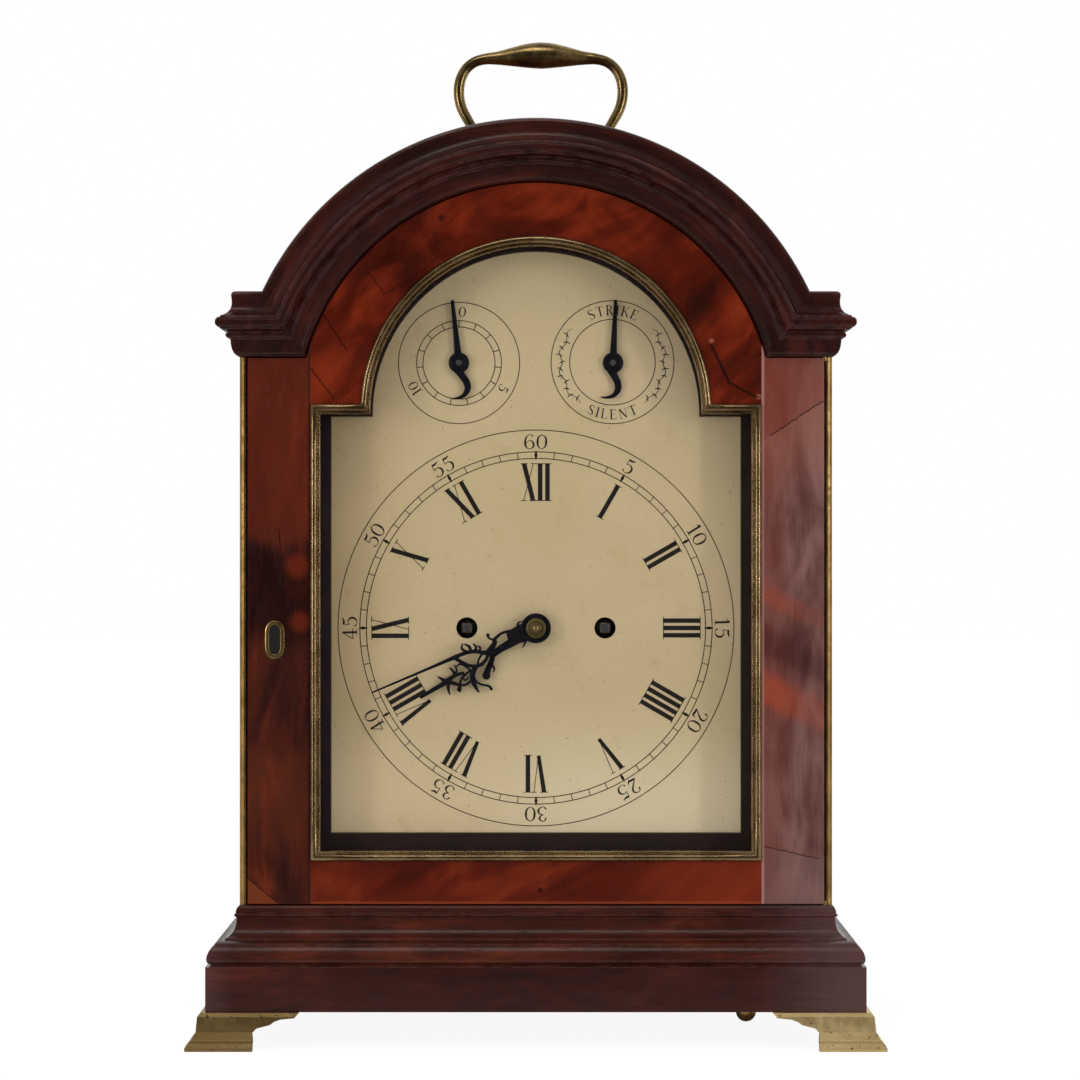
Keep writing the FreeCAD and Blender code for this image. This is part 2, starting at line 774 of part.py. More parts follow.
def rear_light(grow, y0, y1):
    return arch_block(rear_half - rear_rail + grow, base_top + rear_rail - grow,
                      roof_shoulder_in - rear_rail + grow, roof_inner - rear_rail + grow,
                      arch_z, y0, y1)


def rear_glass():
    y1 = rear_front + glass_thick + 2
    return rear_light(rebate - glass_clear, y1 - glass_thick, y1)


def rear_leaf_levels():
    """Heights of the two hinge plates in the rear door's top and bottom edges."""
    top = roof_shoulder_in - rear_gap
    bottom = base_top + rear_gap
    return (top - leaf_thick, top), (bottom, bottom + leaf_thick)


def rear_leaf(low, high):
    return box(rear_axis_x - rear_leaf_half, rear_axis_x + 1.6, rear_axis_y - rear_leaf_depth,
               rear_axis_y + 1.6, low, high)


def rear_pins():
    """Pins on the rear door's hinge side, with the plate that carries each."""
    pieces = []
    (top_low, top), (bottom, bottom_high) = rear_leaf_levels()
    for low, high, start, end in ((top_low, top, top_low, top + rear_gap + pin_length),
                                  (bottom, bottom_high, bottom_high,
                                   bottom - rear_gap - pin_length)):
        pin = rod(pin_radius, vec(rear_axis_x, rear_axis_y, start),
                  vec(rear_axis_x, rear_axis_y, end))
        pieces.append(join(rear_leaf(low, high), pin))
    return Part.makeCompound(pieces)


def rear_catch():
    """Turn catch: knob outside, tongue inside, which turns into the case side."""
    knob = turned([(3.0, 0.0), (4.2, 1.2), (5.2, 3.2), (4.4, 4.8), (2.2, catch_length)], 16,
                  vec(catch_x, case_back, catch_z))
    y0 = tongue_y
    shaft = rod_y(catch_shaft, catch_x, catch_z, y0 - 0.2, case_back)
    tongue = box(catch_x - tongue_half, catch_x + tongue_half, y0, y0 + tongue_thick,
                 catch_z - tongue_length, catch_z + 4)
    return join(knob, shaft, tongue)


# ---- handle ----

def handle_path():
    """Middle line of half the bail as (x, z, thickness radius), from pivot to grip."""
    top = handle_z + handle_rise
    rows = [(handle_post_x + 7.0, handle_z, handle_pin)]
    bow = 14.6
    centre_z = handle_z + 22.6
    for degrees in (-62, -40, -18, 5, 30, 55):
        a = math.radians(degrees)
        rows.append((handle_reach - bow + bow * math.cos(a), centre_z + 15.6 * math.sin(a),
                     handle_rod))
    rows.append((handle_reach - 14.5, top - 2.2, handle_rod + 0.5))
    rows.append((handle_reach - 22.5, top - 0.9, handle_rod + 1.5))
    rows.append((handle_reach - 31.0, top - 0.2, handle_grip - 1.1))
    rows.append((0.0, top, handle_grip))
    return rows


def bail_ring(x, z, radius, direction, sides=10):
    """Ten-sided section of the bail, square to the direction of its middle line."""
    side = vec(0, 1, 0)
    up = direction.cross(side)
    up.normalize()
    points = []
    for i in range(sides):
        a = 2 * math.pi * (i + 0.5) / sides
        points.append(vec(x, handle_y, z) + side * (radius * math.cos(a))
                      + up * (radius * math.sin(a)))
    return points


def carrying_handle():
    half = handle_path()
    rows = half + [(-x, z, r) for x, z, r in reversed(half[:-1])]
    rings = []
    for i, (x, z, radius) in enumerate(rows):
        before = rows[max(i - 1, 0)]
        after = rows[min(i + 1, len(rows) - 1)]
        direction = vec(after[0] - before[0], 0, after[1] - before[1])
        direction.normalize()
        rings.append(bail_ring(x, z, radius, direction))
    bail = ringed(rings, False)
    pins = []
    for s in (1, -1):
        end = vec(s * (handle_post_x - 3.4), handle_y, handle_z)
        start = vec(s * (handle_post_x + 8.2), handle_y, handle_z)
        pins.append(rod(handle_pin, start, end))
    return join(bail, *pins)


def handle_posts():
    """Turned brass posts through the roof, each with a nut inside."""
    hole = handle_pin + fit
    pieces = []
    roof_z = arch_z + math.sqrt(roof_outer ** 2 - handle_post_x ** 2)
    under = arch_z + math.sqrt(roof_inner ** 2 - handle_post_x ** 2)
    for s in (1, -1):
        x = s * handle_post_x
        base = vec(x, handle_y, 0)
        post = turned([(5.4, roof_z + 0.9), (5.4, roof_z + 2.0), (3.4, roof_z + 3.4),
                       (3.6, handle_z + 2.6), (2.4, handle_z + 3.8)], 12, base, "z")
        shank = shaft_z(post_shank, x, handle_y, under - 8, roof_z + 1)
        nut = turned([(5.0, under - 6.5), (5.0, under - 2.2)], 6, base, "z")
        cross = rod(hole, vec(x - 10, handle_y, handle_z), vec(x + 10, handle_y, handle_z))
        pieces.append(join(post, shank, nut).cut(cross))
    return Part.makeCompound(pieces)


# ---- dial and hands ----

def dial_plate():
    b = dial_border
    plate = arch_block(mask_half + b, mask_bottom - b, mask_shoulder + b, mask_radius + b,
                       mask_arch_z, dial_front, dial_back)
    for x in (winding_x, -winding_x):
        plate = plate.cut(shaft_y(winding_hole, x, dial_z, dial_front - 1, dial_back + 1, 24))
        plate = plate.cut(rod_y(arbor + fit, math.copysign(subdial_x, x), subdial_z,
                                dial_front - 1, dial_back + 1))
    pipe_hole = pipe_radius + pipe_wall + 0.4
    plate = plate.cut(shaft_y(pipe_hole, 0, dial_z, dial_front - 1, dial_back + 1, 20))
    feet = [shaft_y(dial_foot, x, z, dial_back, plate_front) for x, z in dial_feet]
    return join(plate, *feet)


def turn_hand(shape, x, z, degrees):
    """Turns a hand drawn upright clockwise, as the dial is read."""
    return shape.rotate(vec(x, 0, z), vec(0, 1, 0), degrees)


def blade(half_outline, tip, y0):
    """Flat hand standing upright on the arbor, from its right half outline."""
    left = [(-u, v) for u, v in half_outline]
    outline = left + [(0.0, tip)] + half_outline[::-1]
    return prism_y([(u, dial_z + v) for u, v in outline], y0, y0 + hand_thick)


def minute_hand():
    y0 = minute_y
    y1 = y0 + hand_thick
    c = dial_z
    shape = blade(minute_outline, minute_length, y0)
    eye = prism_y([(x, c + z) for x, z in minute_eye], y0 - 1, y1 + 1)
    boss = shaft_y(boss_radius, 0, c, y0 - 0.4, y1, 20)
    shape = turn_hand(join(shape.cut(eye), boss), 0, c, minute_angle)
    return shape.cut(cannon_square(y0 - 2, y1 + 1))


def hour_hand():
    y0 = hour_y
    y1 = y0 + hand_thick
    c = dial_z
    shape = blade(hour_outline, hour_length, y0)
    for s in (1, -1):
        shape = shape.cut(prism_y([(s * x, c + z) for x, z in hour_eye], y0 - 1, y1 + 1))
    boss = shaft_y(boss_radius - 1.2, 0, c, y0, y1, 20)
    shape = turn_hand(join(shape, boss), 0, c, hour_angle)
    return shape.cut(shaft_y(pipe_radius + pipe_wall, 0, c, y0 - 1, y1 + 1, 20))


def cannon_square(y0, y1):
    """Squared front end of the cannon pipe, which carries the minute hand."""
    half = pipe_radius * 0.68
    return box(-half, half, y0, y1, dial_z - half, dial_z + half)


def hand_collet():
    y0 = minute_y - 0.4
    dome = turned([(2.2, -2.2), (3.9, -1.2), (4.7, 0.0)], 20, vec(0, y0, dial_z))
    pin = turned([(0.7, -4.2), (0.7, 4.2)], 8, vec(0, y0 - 2.8, dial_z), "x")
    stem = shaft_y(arbor, 0, dial_z, y0 - 3.9, y0 - 1.0)
    return join(dome, stem, pin)


def small_hand(x, degrees):
    """Sub-dial hand with a hooked tail, its arbor and the nut that keeps it."""
    y0 = subhand_y
    y1 = y0 + hand_thick
    c = subdial_z
    shape = prism_y([(x + u, c + z) for u, z in subhand_outline], y0, y1)
    boss = shaft_y(4.9, x, c, y0 - 0.5, y1, 16)
    stem = rod_y(arbor, x, c, y0 - 1.4, dial_back + 4.5)
    cam = turned([(7.0, 0.0), (7.0, 1.6)], 14, vec(x, dial_back + 1.2, c))
    return turn_hand(join(shape, boss, stem, cam), x, c, degrees)


# ---- wheels ----

def tooth_ring(x, z, teeth, module, phase, pointed):
    """Outline of a toothed wheel as (x, z) points, one tooth centred on the phase angle."""
    pitch = module * teeth / 2
    tip = pitch + tooth_tip * module
    root = pitch - tooth_root * module
    step = 2 * math.pi / teeth
    shares = [(-0.28, root), (0.0, tip), (0.28, root)]
    if not pointed:
        flat = tip - 0.15 * module
        shares = [(-0.2, root), (-0.09, flat), (0.09, flat), (0.2, root)]
    points = []
    for i in range(teeth):
        for share, radius in shares:
            a = phase + (i + share) * step
            points.append((x + radius * math.cos(a), z + radius * math.sin(a)))
    return points


def wheel(x, z, teeth, module, phase, y0, thick=wheel_thick):
    """Crossed-out brass wheel with four arms."""
    disc = prism_y(tooth_ring(x, z, teeth, module, phase, True), y0, y0 + thick)
    rim = module * teeth / 2 - tooth_root * module - rim_width
    if rim - hub_radius < 3:
        return disc
    for i in range(4):
        disc = disc.cut(arm_window(x, z, rim, phase + math.pi / 2 * i, y0 - 1, y0 + thick + 1))
    return disc


def arm_window(x, z, rim, a, y0, y1):
    """Opening between two arms of a wheel, round the angle a."""
    window = []
    for radius, half in ((rim, 0.60), (rim, 0.0), (rim, -0.60), (hub_radius, -0.38),
                         (hub_radius, 0.38)):
        window.append((x + radius * math.cos(a + half), z + radius * math.sin(a + half)))
    return prism_y(window, y0, y1)


def pinion(x, z, teeth, module, phase, y0, y1):
    return prism_y(tooth_ring(x, z, teeth, module, phase, False), y0, y1)


def bearing(a, b):
    """Angle from arbor a to arbor b in the plane of the plates."""
    return math.atan2(b[1] - a[1], b[0] - a[0])


def facing(a, b, teeth):
    """Phase of b's leaves so that a gap between two of them faces a tooth of a."""
    return bearing(a, b) + math.pi + math.pi / teeth


def from_arbor(a, distance, degrees):
    t = math.radians(degrees)
    return (a[0] + distance * math.cos(t), a[1] + distance * math.sin(t))


def gear_distance(a, b, module):
    return (a + b) / 2 * module


centre_at = (0.0, dial_z)
going_at = (winding_x, dial_z)
strike_at = (-winding_x, dial_z)
great_module = 2 * winding_x / (great_teeth + leaves)
third_at = from_arbor(centre_at, gear_distance(centre_teeth, leaves, centre_module), third_turn)
escape_rise = math.sqrt(gear_distance(third_teeth, leaves, third_module) ** 2 - third_at[0] ** 2)
escape_at = (0.0, third_at[1] + escape_rise)
anchor_at = (0.0, escape_at[1] + anchor_height)
pin_at = from_arbor(strike_at, winding_x, pin_turn)
locking_at = from_arbor(pin_at, gear_distance(pin_teeth, leaves, pin_module), locking_turn)
fly_at = from_arbor(locking_at, gear_distance(locking_teeth, leaves, locking_module), fly_turn)
change_at = from_arbor(centre_at, gear_distance(cannon_teeth, minute_teeth, motion_module),
                       change_turn)

# Layers of the wheels between the plates, from the front.
centre_y = room_front + centre_layer
third_y = room_front + third_layer
locking_y = room_front + locking_layer
pin_y = room_front + pin_layer
cone_front = room_front + cone_layer
going_great_y = room_front + going_great_layer
strike_great_y = room_front + strike_great_layer
escape_y = room_front + escape_layer


def fusee(at, great_y, towards, square_end):
    """Fusee cone, great wheel and winding arbor, which turn as one."""
    x, z = at
    great = wheel(x, z, great_teeth, great_module, bearing(at, towards), great_y)
    length = great_y - cone_front
    steps = 5
    profile = []
    for i in range(steps + 1):
        t = i / steps
        profile.append((cone_small + (cone_large - cone_small) * t ** 1.6, length * t))
    cone = turned(profile, 20, vec(x, cone_front, z))
    journal = rod_y(fusee_arbor, x, z, plate_front - 1.0, room_front + 1.0)
    shaft = shaft_y(fusee_arbor, x, z, room_front + 0.5, room_back - end_shake)
    half = winding_square / 2
    square = box(x - half, x + half, square_end, plate_front - 0.5, z - half, z + half)
    return join(great, cone, journal, shaft, square)


def going_fusee():
    return fusee(going_at, going_great_y, centre_at, dial_front + 0.8)


def strike_fusee():
    return fusee(strike_at, strike_great_y, pin_at, dial_front + 0.8)


def centre_wheel():
    x, z = centre_at
    big = wheel(x, z, centre_teeth, centre_module, bearing(centre_at, third_at), centre_y)
    small = pinion(x, z, leaves, great_module, facing(going_at, centre_at, leaves),
                   going_great_y - pinion_over, going_great_y + wheel_thick + pinion_over)
    journal = rod_y(arbor, x, z, plate_front - 0.5, room_front + 0.5)
    front = shaft_y(arbor, x, z, minute_y - 0.4, plate_front)
    shaft = shaft_y(arbor, x, z, room_front, room_back - end_shake)
    return join(big, small, journal, front, shaft)


def third_wheel():
    x, z = third_at
    big = wheel(x, z, third_teeth, third_module, bearing(third_at, escape_at), third_y)
    small = pinion(x, z, leaves, centre_module, facing(centre_at, third_at, leaves),
                   centre_y - pinion_over, centre_y + wheel_thick + pinion_over)
    shaft = wheel_arbor(arbor, x, z)
    return join(big, small, shaft)


def escape_wheel():
    x, z = escape_at
    step = 2 * math.pi / escape_teeth
    points = []
    for i in range(escape_teeth):
        a = i * step
        points.append((x + escape_radius * math.cos(a), z + escape_radius * math.sin(a)))
        for share in (0.12, 0.72):
            b = a + share * step
            points.append((x + (escape_radius - 2.6) * math.cos(b),
                           z + (escape_radius - 2.6) * math.sin(b)))
    big = prism_y(points, escape_y, escape_y + escape_thick)
    for i in range(4):
        big = big.cut(arm_window(x, z, escape_radius - 2.6 - rim_width, math.pi / 2 * i,
                                 escape_y - 1, escape_y + escape_thick + 1))
    small = pinion(x, z, leaves, third_module, facing(third_at, escape_at, leaves),
                   third_y - pinion_over, third_y + wheel_thick + pinion_over)
    shaft = wheel_arbor(arbor, x, z)
    return join(big, small, shaft)


def anchor():
    """Recoil anchor on its arbor, with the crutch behind the back plate."""
    x, z = escape_at
    r = escape_radius + pallet_clear
    lean = math.radians(pallet_angle)
    tip = (r * math.sin(lean), r * math.cos(lean))
    right = [(0.0, anchor_height + 3.2), (3.2, anchor_height + 2.2), (tip[0] + 3.8, tip[1] + 4.4),
             (tip[0] + 4.0, tip[1] - 0.8), tip, (tip[0] + 0.9, tip[1] + 2.8),
             (2.4, anchor_height - 2.6)]
    points = right + [(-u, v) for u, v in reversed(right[1:])]
    yoke = prism_y([(x + u, z + v) for u, v in points], escape_y - 0.2, escape_y + 1.8)
    journal = rod_y(arbor, x, anchor_at[1], room_back - 0.5, plate_rear + 0.5)
    inside = shaft_y(arbor, x, anchor_at[1], room_front + end_shake, room_back)
    outside = shaft_y(arbor, x, anchor_at[1], plate_rear, plate_rear + 8.0)
    crutch = box(-1.6, 1.6, plate_rear + 5.0, plate_rear + 7.0, crutch_z, anchor_at[1])
    fork = []
    for s in (1, -1):
        x0 = rod_half + fork_gap
        x1 = x0 + 1.4
        fork.append(box(min(s * x0, s * x1), max(s * x0, s * x1), plate_rear + 6.0,
                        pendulum_y + 3.0, crutch_z, crutch_z + 4))
    bridge = box(-rod_half - 1.75, rod_half + 1.75, plate_rear + 5.0, plate_rear + 7.0,
                 crutch_z, crutch_z + 4)
    return join(yoke, journal, inside, outside, crutch, bridge, *fork)


def wheel_arbor(radius, x, z):
    """Arbor between the plates, round where it bears and ten-sided in the middle."""
    front = rod_y(radius, x, z, room_front + end_shake, room_front + 1.2)
    middle = shaft_y(radius, x, z, room_front + 1.0, room_back - 1.0)
    back = rod_y(radius, x, z, room_back - 1.2, room_back - end_shake)
    return join(front, middle, back)


def rod_strip(z0, z1):
    """Flat strip of the pendulum rod between two heights."""
    half = rod_thick / 2
    return box(-rod_half, rod_half, pendulum_y - half, pendulum_y + half, z0, z1)


def pendulum_rod():
    y = pendulum_y
    eye = shaft_y(4.0, 0, anchor_at[1], y - 1.5, y + 1.5, 16)
    strip = rod_strip(bob_z - bob_radius - rod_under, anchor_at[1])
    bore = rod_y(arbor + fit, 0, anchor_at[1], y - 3, y + 3)
    return join(eye, strip).cut(bore)


def pendulum_bob():
    """Lens-shaped bob and the rating nut under it."""
    half = bob_thick / 2
    lens = turned([(8.0, -half), (bob_radius * 0.7, -half * 0.72), (bob_radius, -0.6),
                   (bob_radius, 0.6), (bob_radius * 0.7, half * 0.72), (8.0, half)], 28,
                  vec(0, pendulum_y, bob_z))
    z = bob_z - bob_radius - 4.5
    nut = turned([(4.0, 0.0), (4.6, 1.0), (4.6, 2.6), (4.0, 3.6)], 16, vec(0, pendulum_y, z), "z")
    slot = rod_strip(z - 5, bob_z + bob_radius)
    return Part.makeCompound([lens.cut(slot), nut.cut(slot)])


def back_cock():
    """Cock on the back plate with the stud that carries the pendulum."""
    z = anchor_at[1]
    far = pendulum_y + 5.0
    foot = box(-16, 16, plate_rear, plate_rear + 3, z + 7, z + 14)
    arm = box(-8, 8, plate_rear + 3, far + 3, z + 7, z + 11)
    tab = box(-8, 8, far, far + 3, z - 5, z + 7)
    stud = rod_y(arbor, 0, z, pendulum_y - 3.0, far)
    return join(foot, arm, tab, stud)


def plates():
    front = box(-plate_half, plate_half, plate_front, room_front, plate_bottom, plate_top)
    back = box(-plate_half, plate_half, room_back, plate_rear, plate_bottom, plate_top)
    front = front.cut(rod_y(arbor + fit, 0, dial_z, -far, far))
    for x in (winding_x, -winding_x):
        front = front.cut(rod_y(fusee_arbor + fit, x, dial_z, -far, far))
    back = back.cut(rod_y(arbor + fit, 0, anchor_at[1], -far, far))
    back = back.cut(rod_y(arbor + fit, hammer_at[0], hammer_at[1], -far, far))
    return front, back


def pillars():
    pieces = []
    for x, z in pillar_places:
        mid = plate_room / 2
        profile = [(4.2, 0.0), (3.0, 6.0), (4.6, mid), (3.0, plate_room - 6.0),
                   (4.2, plate_room)]
        pieces.append(turned(profile, 12, vec(x, room_front, z)))
    return Part.makeCompound(pieces)


def spring_barrel(x):
    lip = barrel_radius + 1
    drum = turned([(lip, 0.0), (lip, 2.0), (barrel_radius, 2.6), (barrel_radius, barrel_length)],
                  24, vec(x, cone_front, barrel_z))
    shaft = wheel_arbor(arbor + 1.0, x, barrel_z)
    return join(drum, shaft)


def pin_wheel():
    x, z = pin_at
    big = wheel(x, z, pin_teeth, pin_module, bearing(pin_at, locking_at), pin_y)
    small = pinion(x, z, leaves, great_module, facing(strike_at, pin_at, leaves),
                   strike_great_y - pinion_over, strike_great_y + wheel_thick + pinion_over)
    shaft = wheel_arbor(arbor, x, z)
    pins = []
    for i in range(8):
        a = 2 * math.pi * i / 8
        centre = vec(x + lift_radius * math.cos(a), pin_y + wheel_thick,
                     z + lift_radius * math.sin(a))
        pins.append(turned([(0.9, 0.0), (0.9, 2.6)], 6, centre))
    return join(big, small, shaft, *pins)


def locking_wheel():
    x, z = locking_at
    big = wheel(x, z, locking_teeth, locking_module, bearing(locking_at, fly_at), locking_y)
    small = pinion(x, z, leaves, pin_module, facing(pin_at, locking_at, leaves),
                   pin_y - pinion_over, pin_y + wheel_thick + pinion_over)
    shaft = wheel_arbor(arbor, x, z)
    return join(big, small, shaft)


def fly():
    x, z = fly_at
    small = pinion(x, z, leaves, locking_module, facing(locking_at, fly_at, leaves),
                   locking_y - pinion_over, locking_y + wheel_thick + pinion_over)
    shaft = wheel_arbor(arbor - 0.3, x, z)
    half = fly_thick / 2
    vane = box(x - fly_half, x + fly_half, room_front + fly_layer,
               room_front + fly_layer + fly_length, z - half, z + half)
    return join(small, shaft, vane)


def hammer():
    x, z = hammer_at
    head_z = bell_rim_z + 3.0
    y0 = plate_rear + 4.0
    journal = rod_y(arbor, x, z, room_back - 0.5, plate_rear + 0.5)
    inside = shaft_y(arbor, x, z, room_front + end_shake, room_back)
    outside = shaft_y(arbor, x, z, plate_rear, y0 + 3.0)
    stem = box(x - 1.5, x + 1.5, y0, y0 + 3.0, z, head_z + 1.5)
    over = box(x - 1.5, x + 1.5, bell_y - 3.0, y0, head_z - 1.5, head_z + 1.5)
    head = turned([(4.0, x - 3.0), (4.0, -bell_radius - hammer_gap)], 12,
                  vec(0, bell_y, head_z), "x")
    reach = math.hypot(pin_at[0] - x, pin_at[1] - z) - lift_radius - 1.5
    aim = bearing(hammer_at, pin_at)
    tail = box(x, x + reach, pin_y + wheel_thick + 0.4, pin_y + wheel_thick + 2.2, z - 1.2,
               z + 1.2)
    tail = tail.rotate(vec(x, 0, z), vec(0, -1, 0), math.degrees(aim))
    return join(journal, inside, outside, stem, over, head, tail)


def bell():
    outer = turned([(bell_radius * r, bell_height * h) for r, h in bell_rings], 24,
                   vec(0, bell_y, bell_rim_z), "z")
    inner = turned([(bell_radius * r - bell_wall, bell_height * h - bell_wall)
                    for r, h in bell_rings[:-1]],
                   24, vec(0, bell_y, bell_rim_z), "z")
    return outer.cut(inner)


def bell_stand():
    top = bell_rim_z + bell_height
    strap = box(24, 36, plate_rear, plate_rear + 3, plate_top - 30, top + 3.0)
    arm = prism_z([(-5, bell_y - 5), (5, bell_y - 5), (36, plate_rear), (36, plate_rear + 3),
                   (24, plate_rear + 3), (-5, bell_y + 5)], top, top + 3.0)
    nut = turned([(4.6, 0.0), (4.6, 4.0)], 6, vec(0, bell_y, top + 3.0), "z")
    return join(strap, arm, nut)


def cannon_pinion():
    x, z = centre_at
    toothed = pinion(x, z, cannon_teeth, motion_module, facing(change_at, centre_at, cannon_teeth),
                     plate_front - 4.0, plate_front - 0.8)
    pipe = rod_y(pipe_radius, x, z, minute_y + hand_thick, plate_front - 3.0)
    bore = shaft_y(arbor, x, z, minute_y - 5, plate_front)
    return join(toothed, pipe, cannon_square(minute_y, minute_y + hand_thick)).cut(bore)


def minute_wheel():
    x, z = change_at
    big = wheel(x, z, minute_teeth, motion_module, bearing(change_at, centre_at),
                plate_front - 3.4)
    small = pinion(x, z, change_teeth, motion_module, bearing(change_at, centre_at),
                   plate_front - 8.6, plate_front - 3.4)
    shaft = shaft_y(arbor, x, z, plate_front - 9.5, plate_front - 1.5)
    journal = rod_y(arbor, x, z, plate_front - 1.7, plate_front - end_shake)
    return join(big, small, shaft, journal)


def hour_wheel():
    x, z = centre_at
    toothed = prism_y(tooth_ring(x, z, hour_teeth, motion_module,
                                 facing(change_at, centre_at, hour_teeth), True),
                      plate_front - 8.0, plate_front - 6.0)
    pipe = shaft_y(pipe_radius + pipe_wall, x, z, hour_y, plate_front - 6.0, 20)
    return join(toothed, pipe).cut(rod_y(pipe_radius + fit, x, z, hour_y - 1, plate_front))


# ---- repeat knob ----

def repeat_knob():
    x = knob_x
    y = knob_y
    ball = turned([(1.6, -knob_radius), (3.4, -3.3), (knob_radius, 0.0), (3.4, 3.3),
                   (1.6, knob_radius)], 16, vec(x, y, knob_z), "z")
    wire = rod(knob_wire, vec(x, y, knob_z), vec(x, y, base_top + knob_travel + 8.0))
    low = base_top + knob_travel + seam
    collar = turned([(3.0, low), (3.0, low + 3.0)], 12, vec(x, y, 0), "z")
    return join(ball, wire, collar)


def build():
    left, right, rail, head = door_timbers()
    front_plate, back_plate = plates()
    return {
        "plinth_frame": plinth_frame(),
        "base_moulding": base_moulding(),
        "base_board": base_board(),
        "bracket_feet": bracket_feet(),
        "side_panel_right": side_panel(),
        "side_panel_left": left_panel(),
        "side_frets": Part.makeCompound(both_sides(side_fret())),
        "side_silks": Part.makeCompound(both_sides(side_silk())),
        "arched_roof": roof(),
        "front_cornice": front_cornice(),
        "side_cornices": side_cornices(),
        "corner_beads": Part.makeCompound([corner_bead(False), corner_bead(True)]),
        "dial_mask": dial_mask(),
        "seat_board": seat(),
        "handle_posts": handle_posts(),
        "carrying_handle": carrying_handle(),
        "door_stile_left": left,
        "door_stile_right": right,
        "door_bottom_rail": rail,
        "door_arched_head": head,
        "door_bezel": door_bezel(),
        "door_glass": door_glass(),
        "door_hinges": door_hinges(),
        "keyhole_escutcheon": escutcheon(),
        "door_lock": door_lock(),
        "lock_bolt": lock_bolt(),
        "rear_door_frame": rear_door(),
        "rear_door_glass": rear_glass(),
        "rear_door_pins": rear_pins(),
        "rear_door_catch": rear_catch(),
        "dial_plate": dial_plate(),
        "minute_hand": minute_hand(),
        "hour_hand": hour_hand(),
        "hand_collet": hand_collet(),
        "rise_fall_hand": small_hand(-subdial_x, -7.0),
        "strike_silent_hand": small_hand(subdial_x, 2.8),
        "front_plate": front_plate,
        "back_plate": back_plate,
        "plate_pillars": pillars(),
        "going_fusee": going_fusee(),
        "strike_fusee": strike_fusee(),
        "going_barrel": spring_barrel(barrel_x),
        "strike_barrel": spring_barrel(-barrel_x),
        "centre_wheel": centre_wheel(),
        "third_wheel": third_wheel(),
        "escape_wheel": escape_wheel(),
        "anchor_and_crutch": anchor(),
        "back_cock": back_cock(),
        "pendulum_rod": pendulum_rod(),
        "pendulum_bob": pendulum_bob(),
        "cannon_pinion": cannon_pinion(),
        "minute_wheel": minute_wheel(),
        "hour_wheel": hour_wheel(),
        "pin_wheel": pin_wheel(),
        "locking_wheel": locking_wheel(),
        "fly": fly(),
        "hammer": hammer(),
        "bell_and_stand": Part.makeCompound([bell(), bell_stand()]),
        "repeat_knob": repeat_knob(),
    }


os.makedirs("parts", exist_ok=True)
for name, shape in build().items():
    solids = shape.Solids
    good = shape.isValid() and bool(solids)
    print(name, len(solids), "solids", round(shape.Volume), "mm3", "" if good else "INVALID")
    shape.exportStep("parts/" + name + ".step")
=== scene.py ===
import math
import random

import bmesh
import bpy
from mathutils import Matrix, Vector


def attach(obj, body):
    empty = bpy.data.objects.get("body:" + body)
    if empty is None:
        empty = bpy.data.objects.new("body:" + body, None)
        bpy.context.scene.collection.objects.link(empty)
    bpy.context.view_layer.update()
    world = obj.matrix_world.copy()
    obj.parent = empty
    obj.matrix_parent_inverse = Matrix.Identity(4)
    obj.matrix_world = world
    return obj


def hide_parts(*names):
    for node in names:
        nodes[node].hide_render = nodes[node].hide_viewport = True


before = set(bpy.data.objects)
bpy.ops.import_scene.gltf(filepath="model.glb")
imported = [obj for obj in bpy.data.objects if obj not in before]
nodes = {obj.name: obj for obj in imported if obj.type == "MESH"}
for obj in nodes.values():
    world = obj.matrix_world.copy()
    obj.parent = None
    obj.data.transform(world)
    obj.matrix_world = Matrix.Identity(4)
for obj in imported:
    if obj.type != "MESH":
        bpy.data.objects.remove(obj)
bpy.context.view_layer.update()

# Sizes of the clock, in millimetres, in the frame's own axes: X right, dial facing -Y, Z up.
mm = 0.001
dial_front = -56.2
dial_z = 192.7
hour_layer = -59.0
minute_layer = -62.2
subdial_x = 36.3
subdial_z = 317.7
winding_x = 32.6
case_half = 137.0
case_front = -60.7
case_back = 97.4
door_front = -79.0
plinth_top = 37.6
base_rise = 26.9
shoulder_z = 319.3
cornice_rise = 30.5
keyhole_x = -121.4
keyhole_z = 187.7
handle_y = 22.0
pivot_z = 434.6
post_x = 24.5
arch_z = 289.5
bob_place = (42.0, 108.1)
bell_y = -2.0
bell_rim_z = 296.1
bell_crown_z = 334.1
plate_back = 26.0
print_depth = 0.06


# ---- finishes ----

def paint(red, green, blue):
    """Colour as it is seen on the clock, 0 to 255, turned into the shader's own scale."""
    tones = []
    for value in (red, green, blue):
        value = value / 255
        tones.append(value / 12.92 if value < 0.04045 else ((value + 0.055) / 1.055) ** 2.4)
    return (*tones, 1.0)


class Link:
    """A socket inside a finish, so that finishes are written as plain sums."""

    def __init__(self, finish, socket):
        self.finish = finish
        self.socket = socket

    def _sum(self, operation, *values):
        return self.finish.add("ShaderNodeMath", {"operation": operation},
                               dict(enumerate(values)))

    def __add__(self, other):
        return self._sum("ADD", self, other)

    def __sub__(self, other):
        return self._sum("SUBTRACT", self, other)

    def __rsub__(self, other):
        return self._sum("SUBTRACT", other, self)

    def __mul__(self, other):
        return self._sum("MULTIPLY", self, other)

    def __truediv__(self, other):
        return self._sum("DIVIDE", self, other)

    def __pow__(self, other):
        return self._sum("POWER", self, other)

    def __abs__(self):
        return self._sum("ABSOLUTE", self)

    def most(self, other):
        return self._sum("MAXIMUM", self, other)

    def turned_to(self, other):
        return self._sum("ARCTAN2", self, other)

    def sine(self):
        return self._sum("SINE", self)

    __radd__ = __add__
    __rmul__ = __mul__


